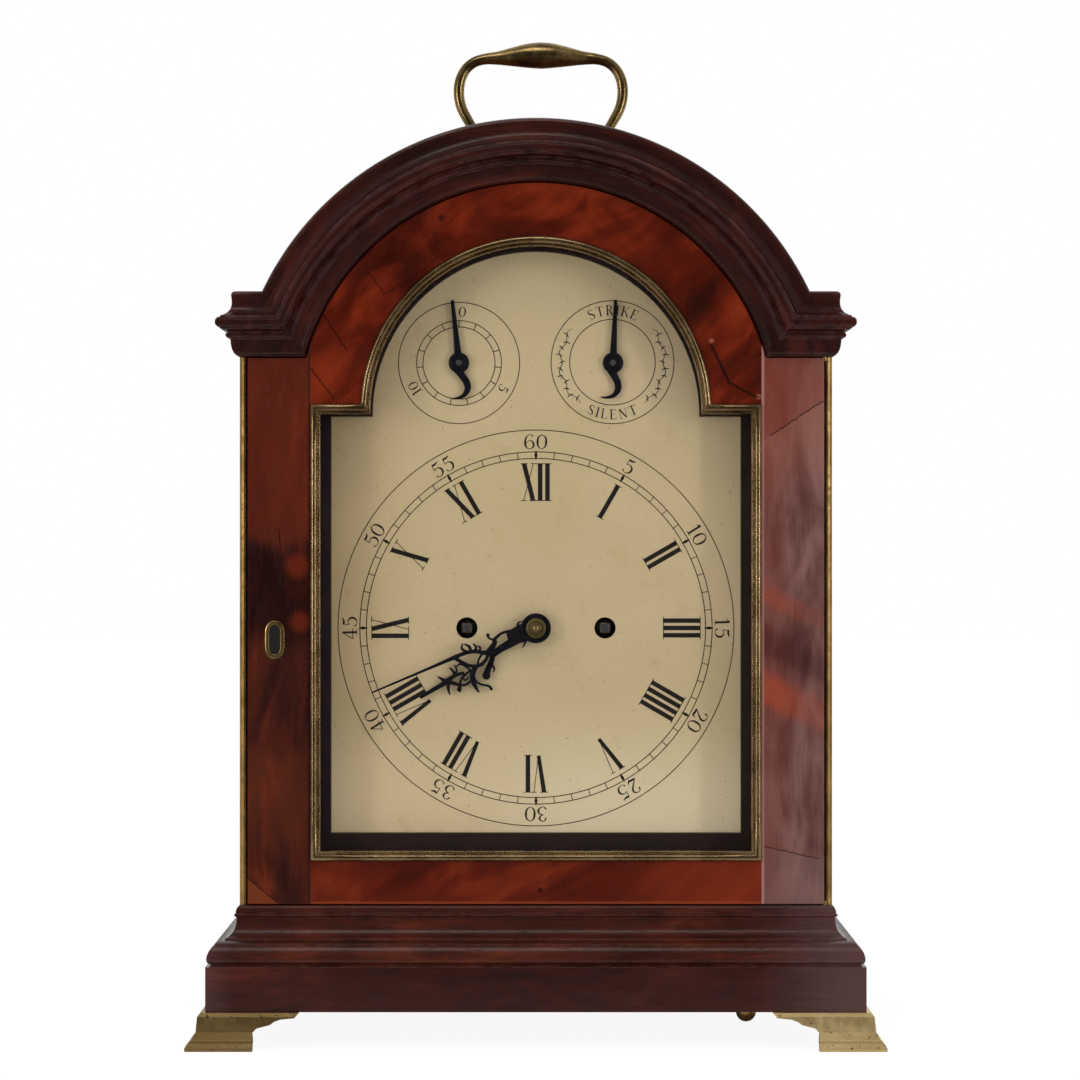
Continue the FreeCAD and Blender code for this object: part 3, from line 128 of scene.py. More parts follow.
class Finish:
    """One material, or the room's light, built from linked nodes."""

    def __init__(self, name, tree=None):
        self.material = None
        if tree is None:
            self.material = bpy.data.materials.new(name)
            self.material.use_nodes = True
            tree = self.material.node_tree
        self.tree = tree
        self.tree.nodes.clear()

    def add(self, kind, settings=None, sockets=None, out=0):
        """Any node: its settings come first, then the values or links of its sockets."""
        node = self.tree.nodes.new(kind)
        for key, value in (settings or {}).items():
            if key == "stops":
                self._stops(node.color_ramp, value)
            else:
                setattr(node, key, value)
        for key, value in (sockets or {}).items():
            if isinstance(value, Link):
                self.tree.links.new(value.socket, node.inputs[key])
            else:
                node.inputs[key].default_value = value
        return Link(self, node.outputs[out]) if len(node.outputs) else node

    @staticmethod
    def _stops(ramp, stops):
        while len(ramp.elements) < len(stops):
            ramp.elements.new(0.5)
        for element, (place, colour) in zip(ramp.elements, stops):
            element.position = place
            element.color = colour

    def place(self):
        """Where a point lies on the clock at rest, in metres."""
        return self.add("ShaderNodeTexCoord", out=3)

    def rays(self):
        """Whether a ray comes from the camera, through glass or off a shiny face."""
        node = self.add("ShaderNodeLightPath").socket.node
        return [Link(self, node.outputs["Is " + kind + " Ray"])
                for kind in ("Camera", "Transmission", "Glossy")]

    def parts(self, vector):
        """The x, y and z of a vector."""
        node = self.add("ShaderNodeSeparateXYZ", None, {0: vector}).socket.node
        return [Link(self, socket) for socket in node.outputs]

    def vector(self, x, y, z):
        return self.add("ShaderNodeCombineXYZ", None, {0: x, 1: y, 2: z})

    def stretch(self, vector, x, y, z):
        return self.add("ShaderNodeVectorMath", {"operation": "MULTIPLY"},
                        {0: vector, 1: (x, y, z)})

    def shift(self, vector, other):
        return self.add("ShaderNodeVectorMath", {"operation": "ADD"}, {0: vector, 1: other})

    def noise(self, vector, scale=1.0, detail=2.0, rough=0.5, swirl=0.0):
        return self.add("ShaderNodeTexNoise", None,
                        {"Vector": vector, "Scale": scale, "Detail": detail,
                         "Roughness": rough, "Distortion": swirl})

    def ramp(self, value, stops):
        return self.add("ShaderNodeValToRGB", {"stops": stops}, {0: value})

    def blend(self, share, first, second):
        return self.add("ShaderNodeMix", {"data_type": "RGBA"},
                        {0: share, 6: first, 7: second}, out=2)

    def darken(self, share, first, second):
        """First colour multiplied by the second, as far as the share says."""
        return self.add("ShaderNodeMix", {"data_type": "RGBA", "blend_type": "MULTIPLY"},
                        {0: share, 6: first, 7: second}, out=2)

    def fade(self, value, low, high):
        """0 below low and 1 above high, with a soft step between."""
        return self.add("ShaderNodeMapRange", {"interpolation_type": "SMOOTHSTEP"},
                        {0: value, 1: low, 2: high, 3: 0.0, 4: 1.0})

    def eased(self, radius):
        """Normal of the surface with its sharp edges rubbed round."""
        return self.add("ShaderNodeBevel", {"samples": 4}, {"Radius": radius * mm})

    def arris(self, eased):
        """1 on the edges of the piece, 0 on its faces."""
        true = self.add("ShaderNodeNewGeometry", out=1)
        same = self.add("ShaderNodeVectorMath", {"operation": "DOT_PRODUCT"},
                        {0: eased, 1: true}, out=1)
        return self.fade(1 - same, 0.02, 0.22)

    def bump(self, height, depth, normal=None, strength=1.0):
        """Relief of a depth in millimetres."""
        sockets = {"Height": height, "Distance": depth * mm, "Strength": strength}
        if normal is not None:
            sockets["Normal"] = normal
        return self.add("ShaderNodeBump", None, sockets)

    def surface(self, **values):
        """Closes the finish with its shader; each value is named after a socket."""
        sockets = {key.replace("_", " ").title().replace("Ior", "IOR"): value
                   for key, value in values.items()}
        shader = self.add("ShaderNodeBsdfPrincipled", None, sockets)
        self.add("ShaderNodeOutputMaterial", None, {"Surface": shader})
        return self.material


def crack(finish, x, z, first, second, width, waver):
    """1 along a straight line on the clock's front between two points in millimetres."""
    ax, az = first
    bx, bz = second
    length = math.hypot(bx - ax, bz - az)
    ux, uz = (bx - ax) / length, (bz - az) / length
    along = (x - ax * mm) * ux + (z - az * mm) * uz
    off = abs((x - ax * mm) * uz - (z - az * mm) * ux + waver)
    line = 1 - finish.fade(off, 0.3 * width * mm, width * mm)
    reach = finish.fade(along, -1.0 * mm, 1.0 * mm)
    reach = reach * (1 - finish.fade(along, (length - 1.0) * mm, (length + 1.0) * mm))
    return line * reach


def cracks(finish, x, z, rows, waver):
    """1 along any of several cracks, given as (first, second, width)."""
    marks = [crack(finish, x, z, *row, waver) for row in rows]
    line = marks[0]
    for mark in marks[1:]:
        line = line.most(mark)
    return line


def timber(name, tones, run="z", figure=0.35, streak=0.35, pores=1.0, polish=0.30,
           edge_wear_and_highlight_tone=(130, 70, 60), edge_wear_and_highlight=0.6, seed=0.0, extra=None, coat=0.15, ease=0.7, broad=1.0):
    """Polished timber: long grain, darker streaks, open pores, figure, and lighter edges that are
    partly rubbed wear and partly painted highlight.
    """
    finish = Finish(name)
    at = finish.shift(finish.place(), (seed, seed * 0.7, seed * 1.3))
    x, y, z = finish.parts(finish.place())
    if run == "x":
        grain = finish.vector(z + seed, y, x)
    elif run == "y":
        grain = finish.vector(x + seed, z, y)
    elif run == "arch":
        reach = (x * x + (z - arch_z * mm) * (z - arch_z * mm)) ** 0.5
        grain = finish.vector(reach + seed, y, x.turned_to(z - arch_z * mm) * 0.12)
    elif run == "slant":
        grain = finish.vector(z * 0.80 - x * 0.60 + seed, y, x * 0.80 + z * 0.60)
    else:
        grain = finish.vector(x + seed, y, z)
    sway = finish.noise(at, 14.0, 2.0, 0.5, 0.0)
    grain = finish.shift(grain, finish.vector(sway * 0.012, 0.0, 0.0))
    long = finish.noise(finish.stretch(grain, 230.0, 230.0, 11.0), 1.0, 3.0, 0.6, 0.3)
    fine = finish.noise(finish.stretch(grain, 1300.0, 1300.0, 42.0), 1.0, 2.0, 0.6)
    cloud = finish.noise(finish.stretch(grain, 21.0, 21.0, 9.0), 1.0, 3.0, 0.55, 1.2)
    flame = finish.noise(finish.stretch(grain, 58.0 * broad, 58.0 * broad, 17.0 / broad ** 0.5),
                         1.0, 3.0, 0.5, 1.2 + broad)
    depth = cloud * figure * 1.8 + flame * figure + long * streak + fine * 0.14
    depth = depth / (figure * 2.8 + streak + 0.14)
    spread = finish.fade(depth, 0.33, 0.67)
    colour = finish.ramp(spread, [(i / (len(tones) - 1), paint(*tone))
                                  for i, tone in enumerate(tones)])
    pore = finish.fade(finish.noise(finish.stretch(grain, 2400.0, 2400.0, 95.0), 1.0, 1.0),
                       0.60, 0.70) * pores
    colour = finish.darken(pore * 0.55, colour, paint(70, 30, 22))
    grime = finish.fade(finish.noise(at, 26.0, 3.0, 0.6), 0.52, 0.75)
    colour = finish.darken(grime * 0.35, colour, paint(120, 90, 80))
    if extra:
        colour = extra(finish, x, z, colour, fine)
    normal = finish.eased(ease)
    # Lighter edges: partly rubbed wear, partly painted highlight along the arrises.
    edge = finish.arris(normal) * finish.fade(finish.noise(at, 160.0, 3.0, 0.6), 0.36, 0.6)
    colour = finish.blend(edge * edge_wear_and_highlight, colour, paint(*edge_wear_and_highlight_tone))
    wave = finish.noise(at, 45.0, 2.0, 0.5)
    height = wave * 0.5 - pore * 0.16 + long * 0.05
    rough = polish + finish.noise(at, 60.0, 3.0, 0.6) * 0.14 - 0.07 + pore * 0.15
    return finish.surface(base_color=colour, roughness=rough, specular_ior_level=0.20,
                          coat_weight=coat, coat_roughness=0.16,
                          normal=finish.bump(height, 0.5, normal, 0.5))


def brass(name, bright, dull, tarnish, rough=0.28, patches=0.5, pits=0.3, ease=0.4,
          scratch=None, scale=1.0, extra=None):
    """Brass with browned hollows, bright rubbed edges and a cast or brushed skin."""
    finish = Finish(name)
    at = finish.place()
    broad = finish.noise(at, 60.0 * scale, 3.0, 0.5, 0.3)
    spots = finish.noise(at, 380.0 * scale, 4.0, 0.6)
    colour = finish.ramp(finish.fade(broad, 0.34, 0.66),
                         [(0.0, paint(*dull)), (1.0, paint(*bright))])
    stain = finish.fade(spots * 0.6 + broad * 0.4, 0.48, 0.72)
    colour = finish.blend(stain * patches, colour, paint(*tarnish))
    if extra:
        colour = extra(finish, at, colour)
    normal = finish.eased(ease)
    edge = finish.arris(normal)
    colour = finish.blend(edge * 0.5, colour, paint(*bright))
    height = spots * pits + broad * 0.3
    if scratch:
        lines = finish.noise(finish.stretch(at, *scratch), 1.0, 2.0, 0.7)
        height = height + lines * 0.35
    shine = finish.noise(at, 190.0 * scale, 3.0, 0.6) * 0.22 + rough - 0.11 + stain * 0.22
    return finish.surface(base_color=colour, metallic=1.0, roughness=shine,
                          normal=finish.bump(height, 0.08, normal, 0.4))


def iron(name, tone, rust, rough, metal=0.85):
    """Polished or blued steel with faint brown bloom."""
    finish = Finish(name)
    at = finish.place()
    bloom = finish.fade(finish.noise(at, 260.0, 4.0, 0.65), 0.48, 0.72)
    colour = finish.blend(bloom * 0.6, paint(*tone), paint(*rust))
    normal = finish.eased(0.2)
    colour = finish.blend(finish.arris(normal) * 0.25, colour, paint(110, 108, 112))
    file_marks = finish.noise(finish.stretch(at, 3000.0, 3000.0, 500.0), 1.0, 2.0)
    return finish.surface(base_color=colour, metallic=metal,
                          roughness=bloom * 0.2 + rough + file_marks * 0.08,
                          normal=finish.bump(file_marks, 0.03, normal, 0.5))


def plain(name, tone, other, rough=0.5, scale=120.0, depth=0.05):
    """Paint, ink or lacquer with a little unevenness."""
    finish = Finish(name)
    at = finish.place()
    cloud = finish.noise(at, scale, 4.0, 0.6)
    colour = finish.blend(finish.fade(cloud, 0.35, 0.68), paint(*tone), paint(*other))
    return finish.surface(base_color=colour, roughness=cloud * 0.16 + rough - 0.08,
                          normal=finish.bump(cloud, depth, finish.eased(0.3), 0.5))


def dial_paint():
    """Old cream dial paint: faint clouds, fine crazing and specks, with painted light toward the
    bottom and the top of the arch and painted shade toward the left and lower left.
    """
    finish = Finish("dial_cream_paint")
    at = finish.place()
    x, _, z = finish.parts(at)
    cloud = finish.noise(at, 11.0, 3.0, 0.55, 0.4)
    colour = finish.blend(finish.fade(cloud, 0.32, 0.68), paint(198, 181, 138),
                          paint(206, 186, 148))
    # Painted shade: darker toward the left side of the dial.
    side = finish.fade(x * -1.0, 0.045, 0.105)
    colour = finish.darken(side * 0.6, colour, paint(226, 214, 196))
    # Painted light: the paint is made lighter toward the bottom of the dial.
    low = 1 - finish.fade(z, 0.095, 0.165)      # metres above the floor
    colour = finish.blend(low * 0.9, colour, paint(236, 220, 184))
    # Painted light: lighter toward the top of the arch, where the head shades the dial.
    high = finish.fade(z, 0.325, 0.372)
    colour = finish.blend(high * 0.5, colour, paint(214, 196, 156))
    # Painted shade: darker toward the lower left of the dial.
    lower_left_shade = low * finish.fade(0.03 - x, 0.0, 0.08)
    colour = finish.darken(lower_left_shade * 0.5, colour, paint(232, 216, 196))
    stain = finish.fade(finish.noise(at, 38.0, 4.0, 0.6, 0.8), 0.56, 0.80)
    colour = finish.darken(stain * 0.35, colour, paint(214, 192, 160))
    speck = finish.fade(finish.noise(at, 900.0, 1.0, 0.4), 0.745, 0.79)
    colour = finish.blend(speck * 0.6, colour, paint(120, 90, 55))
    craze = finish.add("ShaderNodeTexVoronoi", {"feature": "DISTANCE_TO_EDGE"},
                       {"Vector": finish.shift(at, finish.vector(cloud * 0.01, 0.0, 0.0)),
                        "Scale": 260.0})
    lines = 1 - finish.fade(craze, 0.0, 0.03)
    colour = finish.darken(lines * 0.10, colour, paint(170, 150, 115))
    skin = finish.noise(at, 350.0, 3.0, 0.6)
    return finish.surface(base_color=colour, roughness=cloud * 0.1 + 0.42,
                          specular_ior_level=0.35,
                          normal=finish.bump(skin - lines * 0.3, 0.05, None, 0.4))


def silk_cloth():
    """Faded red silk behind the side frets, plain weave with slubs."""
    finish = Finish("silk_faded_red")
    at = finish.place()
    _, y, z = finish.parts(at)
    threads = 5200.0
    warp = (y * threads).sine() * 0.5 + 0.5
    weft = (z * threads).sine() * 0.5 + 0.5
    slub = finish.noise(finish.stretch(at, 60.0, 60.0, 1400.0), 1.0, 2.0)
    faded = finish.noise(at, 16.0, 3.0, 0.6)
    colour = finish.blend(finish.fade(faded, 0.32, 0.7), paint(112, 26, 30), paint(146, 58, 46))
    colour = finish.darken(finish.fade(slub, 0.55, 0.7) * 0.4, colour, paint(190, 150, 140))
    height = warp * weft + slub * 0.6
    return finish.surface(base_color=colour, roughness=slub * 0.2 + 0.42,
                          normal=finish.bump(height, 0.12))


def pane(name):
    """Thin old glass, which lets the light through to what is behind it."""
    finish = Finish(name)
    at = finish.place()
    wave = finish.noise(at, 22.0, 2.0, 0.4)
    dust = finish.noise(at, 300.0, 3.0, 0.6)
    tone = finish.blend(finish.fade(dust, 0.4, 0.8), paint(26, 30, 28), paint(60, 60, 56))
    return finish.surface(base_color=tone, alpha=finish.fade(dust, 0.6, 0.9) * 0.02 + 0.03,
                          roughness=dust * 0.04 + 0.03,
                          normal=finish.bump(wave, 0.15, None, 0.1))


def foot_tarnish(finish, at, colour):
    """Painted shade: the left feet are darker than the right ones, which the light from the right
    reaches; all have black pits.
    """
    x, _, _ = finish.parts(at)
    # Painted shade on the left feet.
    brown = finish.fade(0.0 - x, -0.08, 0.10)
    colour = finish.darken(brown * 0.8, colour, paint(136, 122, 104))
    pit = finish.fade(finish.noise(at, 520.0, 2.0, 0.5), 0.66, 0.72)
    return finish.blend(pit * 0.8, colour, paint(44, 32, 18))


# Veneers of the front: each has its own cut of timber, joints and old repairs; the rail and the
# right stile also carry painted highlight and sheen.
def knot(finish, x, z, at_x, at_z, size):
    """1 in a small dark knot at a place in millimetres."""
    off = ((x - at_x * mm) * (x - at_x * mm) + (z - at_z * mm) * (z - at_z * mm)) ** 0.5
    return 1 - finish.fade(off, 0.3 * size * mm, size * mm)


def head_repairs(finish, x, z, colour, fine):
    """Arched head: shrinkage cracks, a knot, two pale plugs and a dark cloud at the left."""
    waver = (fine - 0.5) * 0.0022
    lines = cracks(finish, x, z, [((-78.6, 359.5), (-70.3, 348.7), 0.40),
                                  ((-70.3, 348.7), (-64.5, 351.2), 0.35),
                                  ((-98.7, 338.9), (-87.9, 322.3), 0.40),
                                  ((-107.5, 317.4), (-93.8, 299.8), 0.45),
                                  ((104.5, 345.0), (97.0, 318.0), 0.25)], waver)
    lines = lines.most(knot(finish, x, z, -43.9, 383.9, 2.2) * 0.8)
    gap = cracks(finish, x, z, [((81.2, 325.4), (90.6, 306.0), 0.9),
                                ((90.4, 307.0), (103.6, 300.2), 0.7)], waver)
    pale = knot(finish, x, z, 81.6, 326.8, 1.6).most(knot(finish, x, z, 103.5, 300.8, 1.8))
    shade = finish.fade(((x + 0.062) * (x + 0.062) + (z - 0.368) * (z - 0.368)) ** 0.5
                        + fine * 0.02, 0.016, 0.040)
    colour = finish.darken((1 - shade) * 0.55, colour, paint(120, 100, 120))
    colour = finish.blend(pale * 0.6, colour, paint(168, 96, 76))
    return finish.blend(lines.most(gap) * 0.85, colour, paint(18, 7, 5))


def rail_repairs(finish, x, z, colour, _):
    """Bottom rail: two small knots, a lighter right half and a painted highlight line along its
    lower edge.
    """
    dark = knot(finish, x, z, 2.0, 71.5, 1.7).most(knot(finish, x, z, -61.0, 76.5, 0.9) * 0.6)
    colour = finish.blend(dark * 0.85, colour, paint(28, 10, 6))
    light = finish.fade(x, 0.02, 0.09)
    colour = finish.blend(light * 0.45, colour, paint(140, 48, 18))
    # Painted highlight: a thin orange line along the lower edge.
    lower_edge_highlight = 1 - finish.fade(z, 0.0652, 0.0668)
    return finish.blend(lower_edge_highlight * 0.55, colour, paint(160, 70, 34))


def left_stile_repairs(finish, x, z, colour, fine):
    """Left stile: flame bands across, a let-in corner at its foot, the joint to the rail."""
    waver = (fine - 0.5) * 0.0012
    patch = finish.fade(0.0 - (x + 0.1340) * 0.80 - (z - 0.0770), -0.0004, 0.0004)
    colour = finish.blend(patch * 0.8, colour, paint(116, 54, 22))
    sway = fine * 0.006 - abs(x + 0.119) * 0.35
    top = finish.fade(z + sway, 0.228, 0.238)
    colour = finish.blend(top * 0.45, colour, paint(108, 38, 14))
    deep = finish.fade(z + sway, 0.182, 0.196) * (1 - finish.fade(z + sway, 0.222, 0.236))
    colour = finish.darken(deep * 0.6, colour, paint(150, 130, 140))
    ember = knot(finish, x, z, -109.5, 196.0, 7.0) + knot(finish, x, z, -111.0, 222.0, 8.0)
    colour = finish.blend(ember * 0.35, colour, paint(140, 44, 12))
    brown = finish.fade(z + sway, 0.084, 0.108) * (1 - finish.fade(z + sway, 0.130, 0.142))
    colour = finish.blend(brown * 0.35, colour, paint(92, 40, 20))
    seam = cracks(finish, x, z, [((-133.8, 76.8), (-119.2, 64.8), 0.40),
                                 ((-119.5, 240.0), (-117.0, 205.0), 0.20)], waver)
    joint = finish.fade(x, -0.1062, -0.1052)
    colour = finish.blend(joint * 0.7, colour, paint(26, 10, 8))
    return finish.blend(seam * 0.85, colour, paint(22, 8, 7))


def right_stile_repairs(finish, x, z, colour, fine):
    """Right stile: veneer in three lengths with slanting joints and red flares, under a painted
    sheen of the light from the right, palest on its middle and lower lengths, and a painted
    highlight line down its inner edge.
    """
    waver = (fine - 0.5) * 0.0014
    upper = finish.fade(z - 0.2835 - (x - 0.1097) * 0.68, -0.0005, 0.0005)
    lower = finish.fade(0.0918 - z - (x - 0.1079) * 0.22, -0.0005, 0.0005)
    sway = fine * 0.008 + (x - 0.105) * 0.45
    warm = (1 - finish.fade(x + fine * 0.006, 0.110, 0.128)) * 0.45
    colour = finish.blend(warm, colour, paint(112, 46, 34))
    flare = finish.fade(z + sway, 0.158, 0.166) * (1 - finish.fade(z + sway, 0.172, 0.182))
    high_flare = finish.fade(z + sway, 0.206, 0.212)
    high_flare = high_flare * (1 - finish.fade(z + sway, 0.214, 0.222))
    flare = flare + high_flare * 0.6
    flare = flare * (1 - finish.fade(x, 0.110, 0.130) * 0.6)
    colour = finish.blend(flare * 0.7, colour, paint(158, 66, 40))
    dusk = finish.fade(z + sway, 0.182, 0.188) * (1 - finish.fade(z + sway, 0.192, 0.204))
    colour = finish.darken(dusk * 0.5, colour, paint(160, 130, 128))
    # Painted sheen: lighter toward the top of the middle length.
    glow = finish.fade(z - (x - 0.105) * 0.5, 0.240, 0.282) * (1 - upper)
    colour = finish.blend(upper * 0.5, colour, paint(128, 60, 44))
    colour = finish.blend(glow * 0.45, colour, paint(146, 84, 66))
    # Painted sheen on the lower length.
    colour = finish.blend(lower * 0.3, colour, paint(118, 90, 88))
    seam = cracks(finish, x, z, [((109.0, 282.6), (133.9, 299.3), 0.5),
                                 ((105.6, 91.9), (132.0, 85.9), 0.4)], waver)
    colour = finish.blend(seam * 0.85, colour, paint(40, 16, 14))
    # Painted highlight line down the stile's inner edge.
    rim = 1 - finish.fade(x, 0.1056, 0.1066)
    return finish.blend(rim * 0.55, colour, paint(186, 136, 130))


def bloomed_ends(finish, x, _, colour, fine):
    """Painted sheen toward the ends of the base, pale mauve as mirrored light would be."""
    # Painted sheen at both ends, stronger at the right.
    right = finish.fade(x + fine * 0.02, 0.105, 0.160)
    left = finish.fade(0.0 - x + fine * 0.01, 0.142, 0.160)
    return finish.blend(right * 0.55 + left * 0.3, colour, paint(98, 76, 78))


finishes = {
    "head": timber("arched_head_veneer", [(40, 10, 4), (72, 16, 2), (86, 21, 3), (112, 32, 6),
                                          (128, 42, 10)],
                   run="slant", figure=0.8, streak=0.03, pores=0.25, polish=0.26, seed=0.31,
                   broad=0.55, edge_wear_and_highlight_tone=(120, 50, 30), edge_wear_and_highlight=0.3, extra=head_repairs),
    "rail": timber("bottom_rail_veneer", [(56, 12, 3), (80, 18, 2), (98, 26, 4), (124, 42, 10)],
                   run="slant", figure=0.7, streak=0.05, pores=0.3, polish=0.28, seed=1.27,
                   broad=0.55, edge_wear_and_highlight_tone=(120, 50, 30), edge_wear_and_highlight=0.3, extra=rail_repairs),
    "stile_left": timber("left_stile_veneer", [(42, 12, 9), (60, 20, 12), (80, 28, 14),
                                               (116, 42, 16)],
                         figure=0.7, streak=0.2, pores=0.6, polish=0.28, seed=2.17,
                         edge_wear_and_highlight_tone=(124, 60, 40), edge_wear_and_highlight=0.4, extra=left_stile_repairs),
    # The right stile's pale mauve tones and pink edges are a painted sheen of the light from the
    # right.
    "stile_right": timber("right_stile_veneer", [(84, 44, 42), (106, 70, 66), (124, 88, 84),
                                                 (138, 98, 92)],
                          figure=0.6, streak=0.15, pores=0.4, polish=0.30, seed=3.41,
                          edge_wear_and_highlight_tone=(176, 130, 124), edge_wear_and_highlight=0.4, extra=right_stile_repairs),
    # Its strong pink edge tone is mostly painted highlight along the quirks of the arch, with
    # some wear.
    "arch_moulding": timber("arch_moulding_timber", [(26, 9, 7), (40, 14, 10), (54, 20, 15),
                                                     (76, 27, 18)],
                            run="arch", figure=0.3, streak=0.4, polish=0.28, seed=4.0,
                            edge_wear_and_highlight_tone=(150, 104, 104), edge_wear_and_highlight=0.85, ease=0.6),
    "base_moulding": timber("base_moulding_timber", [(40, 15, 11), (56, 22, 15), (70, 28, 18),
                                                     (96, 40, 24)],
                            run="x", figure=0.4, streak=0.4, polish=0.28, seed=5.2,
                            edge_wear_and_highlight_tone=(124, 78, 70), edge_wear_and_highlight=0.7, ease=0.6, extra=bloomed_ends),
    "plinth": timber("plinth_timber", [(38, 12, 9), (54, 18, 13), (64, 22, 16), (84, 32, 22)],
                     run="x", figure=0.45, streak=0.3, polish=0.28, seed=6.4,
                     edge_wear_and_highlight_tone=(124, 84, 80), edge_wear_and_highlight=0.6, ease=0.6, extra=bloomed_ends),
    "side": timber("side_panel_veneer", [(56, 16, 9), (86, 28, 13), (112, 42, 18),
                                         (132, 56, 26)],
                   figure=0.75, streak=0.2, polish=0.30, seed=7.7),
    "roof": timber("roof_veneer", [(44, 15, 11), (64, 24, 17), (84, 33, 21), (104, 44, 28)],
                   run="y", figure=0.4, streak=0.4, polish=0.34, seed=8.8),
    "rear": timber("rear_door_timber", [(52, 17, 11), (74, 26, 16), (96, 37, 22),
                                        (112, 46, 28)],
                   figure=0.35, streak=0.35, polish=0.32, seed=9.1),
    "carcase": timber("carcase_timber", [(92, 62, 38), (116, 80, 50), (136, 98, 64),
                                         (150, 112, 76)],
                      run="x", figure=0.3, streak=0.6, polish=0.62, seed=10.3, coat=0.0,
                      edge_wear_and_highlight_tone=(160, 124, 90)),
    "bezel": brass("bezel_brass", (168, 142, 104), (134, 110, 76), (96, 74, 48), rough=0.27,
                   patches=0.2, pits=0.0),
    "bead": brass("corner_bead_brass", (186, 150, 92), (138, 106, 62), (84, 60, 36),
                  rough=0.34, patches=0.5),
    "handle": brass("handle_brass", (176, 150, 98), (120, 102, 66), (74, 62, 38),
                    rough=0.26, patches=0.45, pits=0.1),
    "feet": brass("foot_brass", (240, 214, 156), (222, 192, 132), (150, 120, 76), rough=0.36,
                  patches=0.25, pits=0.08, scale=0.7, extra=foot_tarnish),
    "knob": brass("repeat_knob_brass", (226, 186, 118), (180, 136, 76), (120, 84, 44),
                  rough=0.25, patches=0.3),
    "escutcheon": brass("escutcheon_brass", (204, 176, 120), (164, 134, 84), (104, 80, 48),
                        rough=0.28, patches=0.35),
    "hinge": brass("hinge_brass", (176, 146, 90), (132, 106, 62), (86, 66, 38), rough=0.36,
                   patches=0.5),
    "collet": brass("collet_brass", (160, 140, 96), (128, 112, 72), (88, 78, 46), rough=0.4,
                    patches=0.4),
    "fret": brass("fret_brass", (206, 176, 108), (160, 130, 76), (104, 80, 46), rough=0.34,
                  patches=0.4, scratch=(300.0, 2600.0, 300.0)),
    "movement": brass("movement_brass", (226, 196, 124), (198, 164, 96), (148, 114, 62),
                      rough=0.30, patches=0.25, pits=0.1, scratch=(2400.0, 300.0, 260.0)),
    "bell": brass("bell_metal", (206, 188, 152), (176, 154, 112), (120, 98, 66), rough=0.30,
                  patches=0.3, scratch=(300.0, 300.0, 2600.0)),
    "steel": iron("arbor_steel", (112, 112, 116), (76, 66, 58), rough=0.30),
    "blued": iron("blued_steel", (26, 28, 40), (44, 34, 30), rough=0.34, metal=0.7),
    "mask": plain("mask_black_paint", (34, 21, 19), (42, 26, 22), rough=0.5),
    # Black for painted shade in the winding holes and the keyhole.
    "hole_shade": plain("hole_painted_shade", (9, 9, 11), (14, 13, 14), rough=0.7),
    "ink": plain("dial_black_ink", (17, 14, 13), (30, 25, 21), rough=0.5, scale=700.0,
                 depth=0.01),
    "fine_ink": plain("dial_fine_line_ink", (58, 46, 28), (78, 64, 42), rough=0.5,
                      scale=500.0, depth=0.01),
    "dial": dial_paint(),
    "silk": silk_cloth(),
    "glass": pane("door_pane"),
    "rear_glass": pane("rear_pane"),
}

nodes_in = {
    "plinth": ["plinth_frame"],
    "base_moulding": ["base_moulding", "side_cornices"],
    "carcase": ["base_board", "seat_board"],
    "feet": ["bracket_feet"],
    "side": ["side_panel_right", "side_panel_left"],
    "fret": ["side_frets"],
    "silk": ["side_silks"],
    "roof": ["arched_roof"],
    "arch_moulding": ["front_cornice"],
    "bead": ["corner_beads"],
    "mask": ["dial_mask"],
    "dial": ["dial_plate"],
    "handle": ["handle_posts", "carrying_handle"],
    "stile_left": ["door_stile_left"],
    "stile_right": ["door_stile_right"],
    "rail": ["door_bottom_rail"],
    "head": ["door_arched_head"],
    "bezel": ["door_bezel"],
    "glass": ["door_glass"],
    "escutcheon": ["keyhole_escutcheon"],
    "hinge": ["door_hinges", "door_lock", "rear_door_pins", "rear_door_catch",
              "hand_collet"],
    "rear": ["rear_door_frame"],
    "rear_glass": ["rear_door_glass"],
    "bell": ["bell_and_stand"],
    "knob": ["repeat_knob"],
    "blued": ["minute_hand", "hour_hand", "rise_fall_hand", "strike_silent_hand"],
    "steel": ["lock_bolt", "cannon_pinion", "pendulum_rod", "anchor_and_crutch", "hammer"],
    "movement": ["front_plate", "back_plate", "plate_pillars", "back_cock", "centre_wheel",
                 "hour_wheel", "minute_wheel", "going_fusee", "going_barrel",
                 "third_wheel", "escape_wheel", "pendulum_bob", "locking_wheel",
                 "pin_wheel", "strike_fusee", "strike_barrel", "fly"],
}
for finish, names in nodes_in.items():
    for name in names:
        slots = nodes[name].data.materials
        slots.clear()
        slots.append(finishes[finish])


# ---- tools for making pieces ----

def new_piece(name, shape, finish, body, stands_for=(), sharp=32):
    """Turns a finished shape into a piece that rides on a body of the clock."""
    bmesh.ops.remove_doubles(shape, verts=shape.verts, dist=0.002 * mm)
    bmesh.ops.recalc_face_normals(shape, faces=shape.faces)
    mesh = bpy.data.meshes.new(name)
    shape.to_mesh(mesh)
    shape.free()
    mesh.polygons.foreach_set("use_smooth", [True] * len(mesh.polygons))
    mesh.set_sharp_from_angle(angle=math.radians(sharp))
    mesh.materials.append(finishes[finish])
    piece = bpy.data.objects.new(name, mesh)
    bpy.context.scene.collection.objects.link(piece)
    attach(piece, body)
    if stands_for:
        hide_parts(*stands_for)
    return piece


